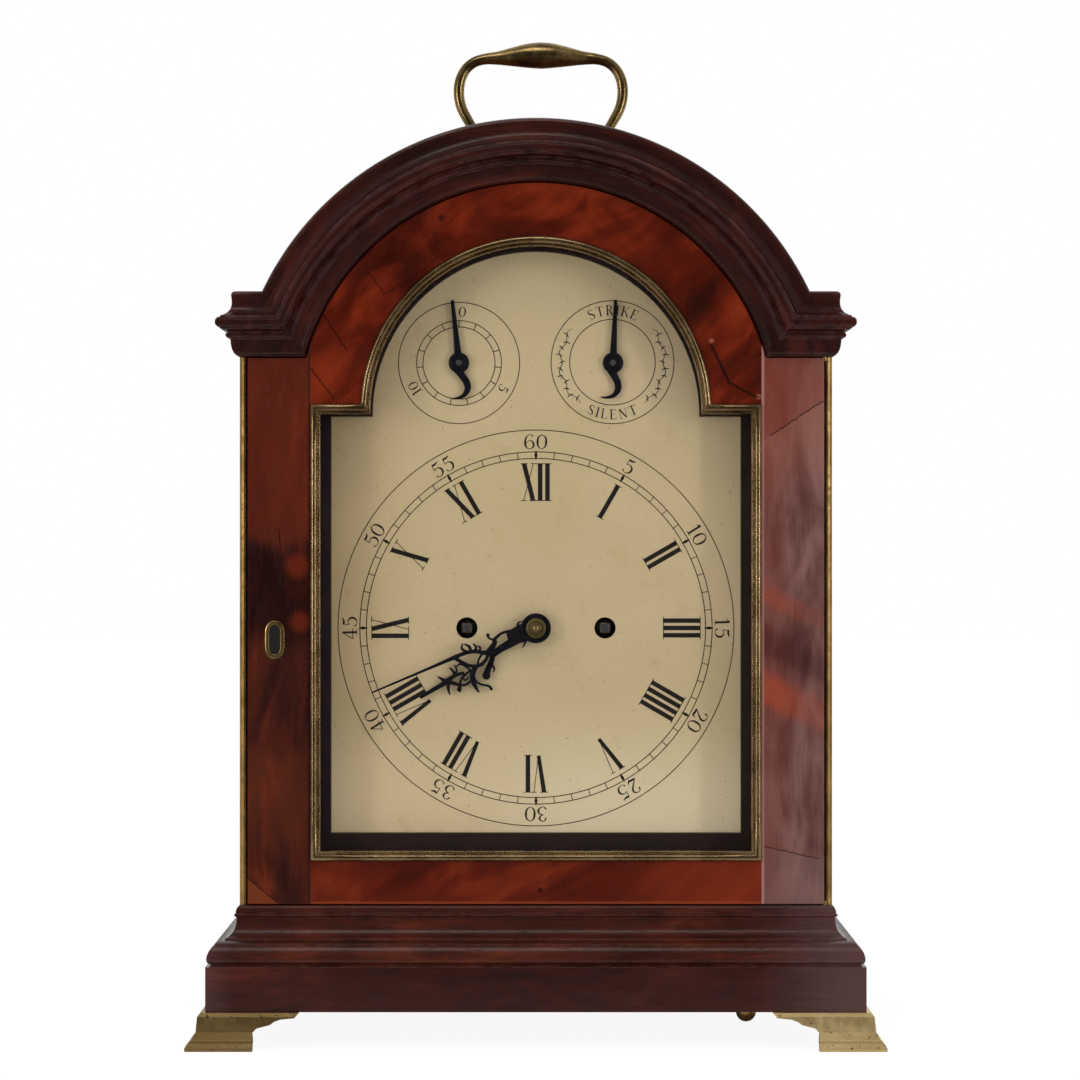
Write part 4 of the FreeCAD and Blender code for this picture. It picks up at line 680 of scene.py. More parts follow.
def loft(shape, rings, closed=False, caps=True):
    """Skin over rings of points, all with the same number of points."""
    rows = [[shape.verts.new(Vector(p) * mm) for p in ring] for ring in rings]
    count = len(rows[0])
    pairs = list(zip(rows, rows[1:]))
    if closed:
        pairs.append((rows[-1], rows[0]))
    for low, high in pairs:
        for i in range(count):
            j = (i + 1) % count
            shape.faces.new((low[i], low[j], high[j], high[i]))
    if caps and not closed:
        shape.faces.new(rows[0])
        shape.faces.new(rows[-1])


def turn(shape, profile, centre, axis="y", steps=48, closed=False):
    """Lathe work: profile is (radius, distance along the axis), with flat ends unless the
    profile is closed."""
    rings = []
    for radius, along in profile:
        ring = []
        for i in range(steps):
            a = 2 * math.pi * i / steps
            u, v = radius * math.cos(a), radius * math.sin(a)
            point = {"x": (along, u, v), "y": (u, along, v), "z": (u, v, along)}[axis]
            ring.append(tuple(c + p for c, p in zip(centre, point)))
        rings.append(ring)
    loft(shape, rings, closed)


def flat(shape, outline, front, back):
    """Plate with a closed outline of (x, z) points, from its front to its back plane."""
    loft(shape, [[(x, front, z) for x, z in outline], [(x, back, z) for x, z in outline]])


def eased_line(points, steps):
    """Smooth line through rows of numbers, such as (x, z, width)."""
    out = []
    last = len(points) - 1
    for i in range(last):
        p0, p1 = points[max(i - 1, 0)], points[i]
        p2, p3 = points[i + 1], points[min(i + 2, last)]
        for k in range(steps):
            t = k / steps
            out.append(tuple(0.5 * (2 * b + (c - a) * t + (2 * a - 5 * b + 4 * c - d) * t * t
                                    + (3 * b - a - 3 * c + d) * t ** 3)
                             for a, b, c, d in zip(p0, p1, p2, p3)))
    out.append(tuple(points[-1]))
    return out


def across(rows, i):
    """Direction square to a line of (x, z, width) rows at its row i."""
    bx, bz, _ = rows[max(i - 1, 0)]
    cx, cz, _ = rows[min(i + 1, len(rows) - 1)]
    length = math.hypot(cx - bx, cz - bz) or 1.0
    return -(cz - bz) / length, (cx - bx) / length


def stroke(shape, points, front, back, smooth=True, steps=6, bevel=0.0):
    """Flat strap along (x, z, width) points, with its upper edges filed off by bevel."""
    rows = eased_line(points, steps) if smooth and len(points) > 2 else points
    rings = []
    for i, (x, z, width) in enumerate(rows):
        nx, nz = across(rows, i)
        half = max(width, 0.02) / 2
        inner = half - min(bevel, half * 0.6)
        lip = front + bevel * 0.7
        ring = [(x + nx * half, back, z + nz * half), (x - nx * half, back, z - nz * half)]
        if bevel:
            ring += [(x - nx * half, lip, z - nz * half), (x - nx * inner, front, z - nz * inner),
                     (x + nx * inner, front, z + nz * inner), (x + nx * half, lip, z + nz * half)]
        else:
            ring += [(x - nx * half, front, z - nz * half), (x + nx * half, front, z + nz * half)]
        rings.append(ring)
    loft(shape, rings)


def ring_line(shape, centre, radius, width, front, back, steps=180):
    """Thin printed circle."""
    cx, cz = centre
    rings = []
    for i in range(steps):
        a = 2 * math.pi * i / steps
        s, c = math.sin(a), math.cos(a)
        ring = []
        for r, y in ((radius - width / 2, back), (radius + width / 2, back),
                     (radius + width / 2, front), (radius - width / 2, front)):
            ring.append((cx + r * s, y, cz + r * c))
        rings.append(ring)
    loft(shape, rings, closed=True)


def spun(points, centre, angle):
    """(x, z, ...) points turned clockwise round the origin by degrees, then moved."""
    a = math.radians(angle)
    s, c = math.sin(a), math.cos(a)
    return [(centre[0] + p[0] * c + p[1] * s, centre[1] - p[0] * s + p[1] * c, *p[2:])
            for p in points]


# ---- figures and letters, drawn with the pen strokes of an old dial ----
# Each stroke is (smooth, points), and a point is (x, height, width) in letter heights.

def foot_serifs(x, top=True, base=True, reach=0.17):
    """Fine cross strokes at the top and base of a stem."""
    strokes = []
    if top:
        strokes.append((False, [(x - reach, 0.98, 0.04), (x + reach, 0.98, 0.04)]))
    if base:
        strokes.append((False, [(x - reach, 0.02, 0.04), (x + reach, 0.02, 0.04)]))
    return strokes


def stem(x, width=0.14):
    return (False, [(x, 0.0, width), (x, 1.0, width)])


glyphs = {
    "0": (0.66, [(True, [(0.31, 0.98, 0.04), (0.10, 0.80, 0.10), (0.05, 0.50, 0.14),
                         (0.10, 0.20, 0.10), (0.31, 0.02, 0.04), (0.52, 0.20, 0.10),
                         (0.57, 0.50, 0.14), (0.52, 0.80, 0.10), (0.31, 0.98, 0.04)])]),
    "1": (0.52, [stem(0.28), (False, [(0.08, 0.80, 0.03), (0.28, 0.98, 0.09)])]
          + foot_serifs(0.28, top=False)),
    "2": (0.66, [(True, [(0.12, 0.72, 0.12), (0.14, 0.90, 0.06), (0.34, 0.98, 0.05),
                         (0.52, 0.84, 0.11), (0.50, 0.62, 0.13), (0.30, 0.34, 0.08),
                         (0.07, 0.06, 0.05)]),
                 (True, [(0.07, 0.06, 0.10), (0.30, 0.07, 0.15), (0.48, 0.04, 0.13),
                         (0.57, 0.24, 0.04)])]),
    "3": (0.64, [(True, [(0.10, 0.78, 0.11), (0.18, 0.94, 0.06), (0.34, 0.98, 0.05),
                         (0.49, 0.82, 0.12), (0.42, 0.62, 0.08), (0.25, 0.55, 0.04)]),
                 (True, [(0.25, 0.55, 0.04), (0.46, 0.48, 0.08), (0.55, 0.28, 0.14),
                         (0.42, 0.06, 0.07), (0.20, 0.02, 0.05), (0.08, 0.18, 0.11)])]),
    "4": (0.68, [stem(0.44), (False, [(0.44, 0.98, 0.05), (0.04, 0.30, 0.05)]),
                 (False, [(0.04, 0.30, 0.05), (0.64, 0.30, 0.05)])]
          + foot_serifs(0.44, top=False)),
    "5": (0.64, [(False, [(0.15, 0.97, 0.05), (0.14, 0.54, 0.05)]),
                 (True, [(0.13, 0.93, 0.11), (0.32, 0.90, 0.13), (0.54, 0.99, 0.05)]),
                 (True, [(0.14, 0.53, 0.04), (0.34, 0.62, 0.06), (0.54, 0.44, 0.13),
                         (0.52, 0.18, 0.12), (0.34, 0.02, 0.05), (0.14, 0.05, 0.05),
                         (0.08, 0.18, 0.11)])]),
    "6": (0.66, [(True, [(0.52, 0.84, 0.11), (0.44, 0.97, 0.05), (0.30, 0.98, 0.04),
                         (0.12, 0.78, 0.09), (0.05, 0.44, 0.14), (0.12, 0.14, 0.09),
                         (0.31, 0.02, 0.04), (0.52, 0.14, 0.10), (0.56, 0.33, 0.13),
                         (0.46, 0.53, 0.08), (0.28, 0.57, 0.04), (0.10, 0.42, 0.04)])]),
    "E": (0.74, [stem(0.16), (False, [(0.02, 0.98, 0.045), (0.60, 0.98, 0.045)]),
                 (False, [(0.02, 0.02, 0.045), (0.62, 0.02, 0.045)]),
                 (False, [(0.16, 0.52, 0.04), (0.44, 0.52, 0.04)]),
                 (False, [(0.60, 0.98, 0.05), (0.61, 0.76, 0.03)]),
                 (False, [(0.62, 0.02, 0.05), (0.64, 0.26, 0.03)]),
                 (False, [(0.44, 0.62, 0.03), (0.44, 0.42, 0.03)])]),
    "I": (0.38, [stem(0.18)] + foot_serifs(0.18, reach=0.15)),
    "K": (0.82, [stem(0.17), (False, [(0.64, 0.98, 0.04), (0.17, 0.42, 0.04)]),
                 (False, [(0.32, 0.58, 0.12), (0.70, 0.02, 0.13)])]
          + foot_serifs(0.17, reach=0.15) + foot_serifs(0.64, base=False, reach=0.13)
          + foot_serifs(0.68, top=False, reach=0.13)),
    "L": (0.70, [stem(0.16), (False, [(0.02, 0.02, 0.045), (0.58, 0.02, 0.045)]),
                 (False, [(0.58, 0.02, 0.05), (0.60, 0.28, 0.03)])]
          + foot_serifs(0.16, base=False, reach=0.15)),
    "N": (0.88, [(False, [(0.15, 0.0, 0.045), (0.15, 0.96, 0.045)]),
                 (False, [(0.13, 0.98, 0.15), (0.68, 0.03, 0.13)]),
                 (False, [(0.69, 0.02, 0.045), (0.69, 1.0, 0.045)])]
          + foot_serifs(0.15, top=False, reach=0.13) + foot_serifs(0.69, base=False, reach=0.13)),
    "R": (0.82, [stem(0.17), (True, [(0.17, 0.97, 0.045), (0.42, 0.96, 0.06),
                                     (0.55, 0.76, 0.14), (0.42, 0.54, 0.06),
                                     (0.17, 0.52, 0.04)]),
                 (True, [(0.34, 0.52, 0.10), (0.48, 0.30, 0.14), (0.58, 0.06, 0.12),
                         (0.72, 0.03, 0.04)])] + foot_serifs(0.17, reach=0.15)),
    "S": (0.64, [(True, [(0.50, 0.78, 0.04), (0.45, 0.93, 0.05), (0.28, 0.98, 0.05),
                         (0.10, 0.84, 0.11), (0.14, 0.62, 0.13), (0.42, 0.42, 0.15),
                         (0.52, 0.20, 0.12), (0.36, 0.02, 0.05), (0.16, 0.05, 0.05),
                         (0.06, 0.26, 0.04)])]),
    "T": (0.78, [stem(0.38), (False, [(0.06, 0.98, 0.045), (0.70, 0.98, 0.045)]),
                 (False, [(0.06, 0.98, 0.05), (0.03, 0.76, 0.03)]),
                 (False, [(0.70, 0.98, 0.05), (0.73, 0.76, 0.03)])]
          + foot_serifs(0.38, top=False, reach=0.15)),
}


def write(shape, word, centre, radius, angle, height, front, back, wide=1.0, inward=False,
          gap=0.10):
    """Word round an arc, its middle at the angle, clockwise from the top, in degrees."""
    sense = -1 if inward else 1
    length = sum(glyphs[c][0] * wide + gap for c in word) - gap
    done = -length / 2
    for c in word:
        width, strokes = glyphs[c]
        middle = done + width * wide / 2
        turn_by = math.degrees(middle * height / radius)
        for smooth, points in strokes:
            moved = [((x - width / 2) * wide * height,
                      sense * radius - height / 2 + z * height, pen * height)
                     for x, z, pen in points]
            at = angle + sense * turn_by
            spin_by = at - 180 if inward else at
            stroke(shape, spun(moved, centre, spin_by), front, back, smooth, 5)
        done += width * wide + gap


def roman(shape, text, hour, front, back):
    """Roman numeral with heavy and fine strokes, its foot toward the dial's centre."""
    inner, outer = 60.0, 77.6
    advance = {"I": 3.45, "V": 7.6, "X": 7.4}
    total = sum(advance[c] for c in text)
    left = -total / 2
    heavy, fine = 2.15, 0.34
    strokes = []
    runs = []
    for c in text:
        a = advance[c]
        mid = left + a / 2
        if c == "I":
            strokes.append([(mid, inner, heavy), (mid, outer, heavy)])
            runs.append((mid - 1.95, mid + 1.95, True, True))
        elif c == "V":
            strokes.append([(left + 1.7, outer, heavy), (mid + 0.5, inner + 0.2, heavy * 0.8)])
            strokes.append([(left + a - 1.1, outer, fine), (mid + 0.6, inner + 0.2, fine)])
            runs.append((left, left + 3.6, True, False))
            runs.append((left + a - 2.4, left + a + 0.1, True, False))
        else:
            strokes.append([(left + 1.5, outer, heavy), (left + a - 1.6, inner, heavy)])
            strokes.append([(left + a - 1.5, outer, fine), (left + 1.3, inner, fine)])
            runs.append((left - 0.1, left + 3.4, True, False))
            runs.append((left + a - 2.8, left + a, True, False))
            runs.append((left, left + 2.8, False, True))
            runs.append((left + a - 3.4, left + a + 0.1, False, True))
        left += a
    for x0, x1, top, base in runs:
        if top:
            strokes.append([(x0, outer - 0.1, fine), (x1, outer - 0.1, fine)])
        if base:
            strokes.append([(x0, inner + 0.1, fine), (x1, inner + 0.1, fine)])
    for points in strokes:
        stroke(shape, spun(points, (0.0, dial_z), hour * 30), front, back, False)


# ---- print on the dial ----

def dial_print():
    """Hours, minutes and rings of the dial, and the rings and words of its two sub-dials."""
    front = dial_front - print_depth
    back = dial_front + 0.02
    centre = (0.0, dial_z)
    bold = bmesh.new()
    hours = ["XII", "I", "II", "III", "IIII", "V", "VI", "VII", "VIII", "IX", "X", "XI"]
    for hour, text in enumerate(hours):
        roman(bold, text, hour, front, back)
    for five in range(12):
        outline = [(-0.75, 81.55), (0.0, 84.0), (0.75, 81.55), (0.0, 79.1)]
        flat(bold, [p[:2] for p in spun(outline, centre, five * 30)], front, back)
        write(bold, str(five * 5 or 60), centre, 87.9, five * 30, 7.0, front, back, 1.12)
    new_piece("dial_numerals", bold, "ink", "root")

    lines = bmesh.new()
    ring_line(lines, centre, 93.4, 0.44, front, back, 240)
    ring_line(lines, centre, 83.1, 0.44, front, back, 240)
    ring_line(lines, centre, 80.0, 0.44, front, back, 240)
    for minute in range(60):
        tick = [(0.0, 80.0, 0.40), (0.0, 83.1, 0.40)]
        stroke(lines, spun(tick, centre, minute * 6), front, back, False)
    new_piece("dial_minute_ring", lines, "fine_ink", "root")

    left = (-subdial_x, subdial_z)
    right = (subdial_x - 0.2, subdial_z + 0.4)
    small = bmesh.new()
    for radius in (28.6, 20.0, 17.0):
        ring_line(small, left, radius, 0.42, front, back, 120)
    for i in range(15):
        stroke(small, spun([(0.0, 17.0, 0.42), (0.0, 20.0, 0.42)], left, i * 24), front, back,
               False)
    for radius in (29.0, 20.2):
        ring_line(small, right, radius, 0.42, front, back, 120)
    new_piece("subdial_rings", small, "fine_ink", "root")

    words = bmesh.new()
    for text, angle in (("0", 4), ("5", 120), ("10", 240)):
        write(words, text, left, 24.2, angle, 4.9, front, back, 1.05)
    write(words, "STRIKE", right, 24.6, 1, 4.7, front, back, 1.05, gap=0.16)
    write(words, "SILENT", right, 24.6, 180, 4.7, front, back, 1.05, inward=True, gap=0.14)
    for i in (1, 2):
        dot = [(-0.35, 18.5), (0.0, 19.4), (0.35, 18.5), (0.0, 17.6)]
        flat(words, [p[:2] for p in spun(dot, left, i * 120)], front, back)
    for side in (1, -1):
        leaf_spray(words, right, side, front, back)
    new_piece("subdial_lettering", words, "ink", "root")


def leaf_spray(shape, centre, side, front, back):
    """Wavy stem with small leaves, at one side of the strike and silent ring."""
    points = []
    for i in range(25):
        angle = 50 + 92 * i / 24
        radius = 24.6 + 0.9 * math.sin(i * 1.05)
        points.append((angle, radius, 0.22 + 0.16 * math.sin(math.pi * i / 24)))
    path = []
    for angle, radius, width in points:
        a = math.radians(angle)
        path.append((centre[0] + side * radius * math.sin(a),
                     centre[1] + radius * math.cos(a), width))
    stroke(shape, path, front, back, True, 3)
    for i in range(2, 23, 2):
        x, z, _ = path[i]
        px, pz, _ = path[i - 1]
        heading = math.atan2(z - pz, x - px)
        for lean, size in ((0.75, 2.3), (-0.9, 1.9)):
            if (i // 2) % 2 and lean > 0 and i not in (2, 22):
                size *= 0.75
            a = heading + lean
            leaf = [(x, z, 0.12), (x + size * 0.4 * math.cos(a), z + size * 0.4 * math.sin(a),
                                   0.55),
                    (x + size * math.cos(a + 0.35 * lean), z + size * math.sin(a + 0.35 * lean),
                     0.06)]
            stroke(shape, leaf, front, back, True, 4)


# ---- hands ----
# The pierced hands are sawn from thin steel. Points are millimetres from the dial's centre.

def saw(name, strokes, discs, front, body, node):
    """Sawn hand of overlapping strands, each a hair lower than the one before it."""
    shape = bmesh.new()
    thick, hair = 0.8, 0.004
    for i, points in enumerate(strokes):
        moved = [(x, dial_z + z, width) for x, z, width in points]
        stroke(shape, moved, front + hair * (i % 5), front + thick, True, 6, 0.22)
    for x, z, radius in discs:
        turn(shape, [(radius - 0.2, front - 0.10), (radius, front + 0.1),
                     (radius, front + thick)], (x, 0, dial_z + z), steps=32)
    new_piece(name, shape, "blued", body, (node,), 40)


def minute_hand():
    """Minute hand: forked root, a crescent eye with small leaves, and a long fine blade."""
    strokes = [
        [(-4.5, -1.6, 9.0), (-8.4, -3.1, 8.0), (-11.4, -4.3, 6.6), (-13.2, -5.0, 5.0)],
        [(-9.4, -1.2, 1.8), (-12.8, -1.4, 1.4), (-16.2, -2.4, 1.3), (-18.7, -4.4, 1.5),
         (-20.3, -6.2, 2.0)],
        [(-11.6, -8.0, 1.8), (-14.6, -9.0, 1.8), (-17.6, -9.9, 2.0), (-20.6, -11.6, 2.2)],
        [(-19.4, -5.4, 1.1), (-21.4, -5.0, 1.0), (-22.8, -3.9, 1.1)],
        [(-19.0, -5.6, 2.0), (-20.0, -8.0, 2.6), (-21.4, -10.0, 2.8), (-22.6, -11.4, 2.8)],
        [(-21.0, -11.6, 2.8), (-24.6, -11.5, 2.1), (-28.4, -10.9, 1.9), (-32.0, -11.3, 1.9),
         (-35.8, -12.6, 1.9), (-38.2, -13.9, 2.2)],
        [(-22.4, -12.4, 1.6), (-24.0, -15.4, 1.6), (-27.0, -17.6, 1.7), (-31.0, -17.6, 1.6),
         (-35.0, -15.9, 1.7), (-38.2, -13.9, 2.0)],
        [(-24.6, -11.4, 1.2), (-26.6, -14.0, 1.0), (-27.4, -16.8, 1.0)],
        [(-28.8, -10.9, 1.6), (-28.2, -8.8, 1.2), (-29.6, -7.2, 0.7)],
        [(-30.6, -10.9, 1.5), (-31.4, -8.6, 1.4), (-33.8, -7.4, 0.6)],
        [(-32.0, -11.3, 1.4), (-34.8, -9.6, 1.2), (-34.4, -7.0, 0.6)],
        [(-26.8, -11.0, 1.2), (-26.2, -9.2, 1.0), (-27.6, -8.2, 0.6)],
        [(-6.4, 3.2, 0.5), (-8.2, 2.6, 1.0), (-8.6, 0.9, 1.4)],
        [(-5.0, -6.2, 1.2), (-5.6, -8.0, 0.8), (-6.4, -9.2, 0.4)],
        [(-36.6, -13.0, 2.3), (-42.0, -15.3, 1.75), (-52.0, -19.6, 1.3), (-64.0, -24.7, 1.05),
         (-77.2, -30.3, 0.75)],
    ]
    discs = [(-22.6, -3.2, 0.85), (0.0, 0.0, 7.1)]
    saw("minute_hand_pierced", strokes, discs, minute_layer, "minute_train", "minute_hand")


def hour_hand():
    """Hour hand: short arm, scrolls and thorns round a central C, and a spear."""
    strokes = [
        [(-5.0, -3.0, 5.0), (-11.0, -6.5, 4.2), (-17.0, -10.0, 3.4), (-20.6, -12.8, 3.0)],
        [(-20.2, -11.6, 2.6), (-21.0, -15.6, 2.6), (-22.4, -19.0, 2.8), (-23.4, -22.0, 3.4)],
        [(-24.6, -17.0, 1.4), (-27.6, -17.8, 2.0), (-29.6, -20.6, 2.6), (-29.8, -24.2, 2.5),
         (-28.6, -27.4, 1.9), (-26.8, -30.4, 0.7)],
        [(-29.4, -22.4, 1.2), (-28.2, -25.0, 1.0), (-25.6, -26.6, 1.0), (-22.6, -27.2, 1.1),
         (-21.2, -28.2, 1.4)],
        [(-20.6, -17.4, 1.2), (-19.6, -19.2, 0.9), (-20.2, -20.8, 0.5)],
        [(-29.4, -21.4, 1.1), (-32.4, -18.6, 1.0), (-35.6, -17.0, 1.0), (-37.6, -18.2, 0.7)],
        [(-29.8, -24.0, 1.2), (-32.8, -26.6, 1.2), (-36.0, -26.8, 1.3), (-39.6, -25.8, 1.9),
         (-42.4, -25.4, 2.6)],
        [(-33.8, -21.2, 1.5), (-36.2, -21.6, 1.6), (-38.6, -22.6, 1.8), (-42.2, -25.2, 2.6)],
        [(-30.6, -19.8, 0.9), (-33.0, -21.6, 1.1), (-35.4, -24.6, 1.2), (-35.8, -28.6, 1.7)],
        [(-38.2, -22.6, 1.3), (-39.0, -20.4, 1.3), (-40.8, -18.6, 0.6)],
        [(-38.4, -22.2, 1.2), (-37.4, -19.8, 1.0), (-38.6, -17.2, 0.5)],
        [(-42.4, -25.4, 2.2), (-44.4, -24.0, 1.4), (-46.4, -22.8, 0.5)],
        [(-41.4, -26.2, 1.8), (-41.2, -29.2, 1.4), (-40.4, -31.6, 0.5)],
        [(-35.6, -27.0, 1.4), (-36.8, -29.0, 1.0), (-35.4, -30.2, 0.6)],
        [(-34.6, -22.4, 1.0), (-33.6, -24.6, 0.8), (-31.6, -23.2, 0.7)],
        [(-41.6, -25.0, 2.6), (-45.2, -27.2, 2.2), (-50.0, -30.0, 1.9), (-54.6, -32.8, 1.5)],
    ]
    discs = [(-23.4, -22.4, 1.95), (-21.1, -28.6, 0.8), (0.0, 0.0, 6.2), (-35.9, -28.9, 0.9)]
    saw("hour_hand_pierced", strokes, discs, hour_layer, "hour_train", "hour_hand")


def small_hand(name, centre, lean, body):
    """Pointer with a round boss and a comma tail, for one of the sub-dials."""
    cx, cz = centre
    front = hour_layer + 0.1
    shape = bmesh.new()
    pointer = [(0.0, 3.2, 3.5), (0.0, 10.0, 2.9), (0.0, 20.0, 2.2), (0.0, 29.6, 1.6)]
    tail = [(-0.6, -3.2, 4.6), (0.8, -6.0, 3.4), (2.6, -9.4, 3.3), (2.8, -12.6, 3.0),
            (0.8, -15.4, 2.0), (-2.4, -16.5, 1.2), (-5.2, -16.4, 0.5)]
    for points in (pointer, tail):
        stroke(shape, spun(points, centre, lean), front, front + 0.7, True, 8, 0.25)
    turn(shape, [(0.5, front - 0.9), (1.6, front - 0.75), (2.1, front - 0.3),
                 (2.2, front - 0.1), (4.4, front - 0.12), (4.9, front + 0.2),
                 (4.9, front + 0.7)], (cx, 0, cz), steps=40)
    turn(shape, [(1.5, front + 0.5), (1.5, dial_front + 6.4)], (cx, 0, cz), steps=20)
    new_piece(name, shape, "blued", body, (body,), 40)
    pin = bmesh.new()
    turn(pin, [(0.4, front - 1.25), (1.1, front - 1.1), (1.45, front - 0.7),
               (1.5, front - 0.2)], (cx, 0, cz), steps=24)
    new_piece(name + "_pin", pin, "steel", body)


def centre_collet():
    """Domed brass collet with a turned groove, and the end of the arbor in it."""
    c = (0.0, 0.0, dial_z)
    shape = bmesh.new()
    turn(shape, [(4.75, -62.65), (4.75, -63.3), (4.45, -63.8), (3.9, -64.0), (3.1, -63.95),
                 (2.9, -63.55), (2.5, -63.5), (2.3, -63.9), (1.7, -64.1), (1.5, -64.1)],
         c, steps=56)
    new_piece("collet_dome", shape, "collet", "minute_train", ("hand_collet",))
    pin = bmesh.new()
    turn(pin, [(1.45, -63.0), (1.45, -65.2), (1.2, -65.8), (0.5, -66.2)], c, steps=28)
    new_piece("collet_arbor_end", pin, "escutcheon", "minute_train")


def winding_holes():
    """Painted shade: a black tube behind each winding hole, standing for the shade deep in it,
    open round the square of the arbor.
    """
    profile = [(5.05, -56.1), (5.5, -56.1), (5.5, -44.0), (3.4, -44.0), (3.4, -44.6),
               (5.05, -44.6)]
    shape = bmesh.new()
    for x in (winding_x, -winding_x):
        turn(shape, profile, (x, 0, dial_z), closed=True)
    new_piece("winding_hole_shade_tubes", shape, "hole_shade", "root")


def winding_squares():
    """Squares of the two fusee arbors, with their ends chamfered."""
    half = 2.27
    for x, body in ((winding_x, "going_fusee"), (-winding_x, "strike_fusee")):
        shape = bmesh.new()
        rings = []
        for inset, y in ((0.0, -39.9), (0.0, -55.2), (0.35, -55.75), (1.3, -56.0)):
            h = half - inset
            rings.append([(x - h, y, dial_z - h), (x + h, y, dial_z - h),
                          (x + h, y, dial_z + h), (x - h, y, dial_z + h)])
        loft(shape, rings)
        new_piece("winding_square_" + body, shape, "steel", body, (), 20)


# ---- brass mounts ----

def bail():
    """Carrying handle: slim swept rod, swelling to the grip, ends curled into the posts."""
    slack = 2.3
    path = [(31.2, 434.6, 2.2), (33.0, 437.4, 2.3), (36.0, 442.2, 2.5), (39.2, 448.4, 2.6),
            (40.6, 455.0, 2.65), (40.0, 461.8, 2.65), (37.4, 467.4, 2.6), (33.0, 471.2, 2.6),
            (27.4, 472.8, 2.75), (20.4, 473.3, 3.5), (13.0, 473.9, 4.9), (6.0, 474.4, 6.1),
            (0.0, 474.5, 6.55)]
    half = eased_line(path, 6)
    rows = half + [(-x, z, r) for x, z, r in reversed(half[:-1])]
    rows = [(x + slack, z, r) for x, z, r in rows]
    shape = bmesh.new()
    rings = []
    for i, (x, z, radius) in enumerate(rows):
        nx, nz = across(rows, i)
        ring = []
        for k in range(28):
            a = 2 * math.pi * k / 28
            deep = radius * math.cos(a) * (0.94 if radius > 3 else 1.0)
            ring.append((x + nx * radius * math.sin(a), handle_y + deep,
                         z + nz * radius * math.sin(a)))
        rings.append(ring)
    loft(shape, rings)
    for side in (1, -1):
        pin = [(1.5, side * (post_x - 3.4)), (1.5, side * (post_x + 8.2))]
        turn(shape, pin, (slack, handle_y, pivot_z), "x", 20)
    new_piece("carrying_bail", shape, "handle", "handle", ("carrying_handle",), 50)


def posts():
    """Turned posts of the handle, with a moulded collar at the roof."""
    shape = bmesh.new()
    for x in (post_x, -post_x):
        profile = [(2.4, 403.0), (2.4, 425.9), (5.4, 425.9), (5.4, 426.9), (4.9, 427.5),
                   (3.9, 428.0), (3.3, 429.0), (3.1, 430.2), (3.4, 431.4), (3.7, 432.4),
                   (3.75, 436.2), (3.3, 437.4), (2.2, 438.1), (0.6, 438.4)]
        turn(shape, profile, (x, handle_y, 0), "z", 40)
        turn(shape, [(5.0, 406.8), (5.0, 411.0)], (x, handle_y, 0), "z", 6)
    new_piece("turned_handle_posts", shape, "handle", "root", ("handle_posts",), 40)


def repeat_ball():
    """Brass ball and collar on the wire of the pull under the plinth."""
    x, y, z = 99.6, -48.0, 10.6
    shape = bmesh.new()
    profile = []
    for i in range(15):
        a = math.pi * i / 16
        profile.append((4.75 * math.sin(a) + (0.2 if i == 0 else 0.0), z - 4.75 * math.cos(a)))
    profile += [(1.6, z + 4.9), (1.7, z + 5.6), (1.2, z + 6.2), (0.8, z + 6.6), (0.8, z + 58.0)]
    turn(shape, profile, (x, y, 0), "z", 36)
    turn(shape, [(2.4, 70.0), (2.4, 77.4)], (x, y, 0), "z", 24)
    new_piece("repeat_ball_and_wire", shape, "knob", "repeat_knob", ("repeat_knob",), 50)


# Mouldings as (how far they stand out from the case, height), from the top down.
cornice_section = [
    (1.2, 30.5), (2.9, 30.3), (3.9, 29.7), (4.35, 28.7), (4.2, 27.4), (4.0, 25.6), (4.1, 23.8),
    (4.6, 22.0), (5.8, 20.4), (7.6, 19.2), (8.9, 18.8), (9.0, 18.2), (10.2, 17.8), (11.0, 16.8),
    (11.2, 15.4), (10.9, 14.3), (10.1, 13.5), (9.1, 13.3), (8.9, 12.7), (8.1, 12.1),
    (6.9, 11.7), (5.9, 11.4), (5.7, 10.9), (6.3, 10.7), (6.7, 10.1), (6.6, 9.2), (6.0, 8.6),
    (5.0, 8.4), (4.6, 8.0), (4.5, 6.6), (4.3, 4.8), (3.8, 3.0), (3.0, 1.5), (1.9, 0.5),
    (0.9, 0.0)]
base_section = [
    (0.4, 26.9), (1.3, 26.5), (1.9, 25.6), (2.3, 24.5), (2.4, 23.7), (2.0, 23.4), (2.5, 23.2),
    (3.0, 22.8), (3.0, 22.2), (2.5, 21.8), (1.9, 21.6), (1.9, 21.0), (2.0, 19.4), (2.3, 17.6),
    (2.9, 15.8), (3.9, 14.2), (5.3, 12.9), (6.9, 12.1), (7.0, 11.5), (8.8, 11.3), (10.3, 10.8),
    (11.2, 10.1), (11.2, 9.5), (11.9, 9.3), (13.0, 8.2), (14.0, 6.6), (14.6, 4.9), (14.8, 3.4),
    (14.6, 2.3), (14.0, 1.5), (13.1, 1.2), (12.9, 0.6), (13.3, 0.0)]


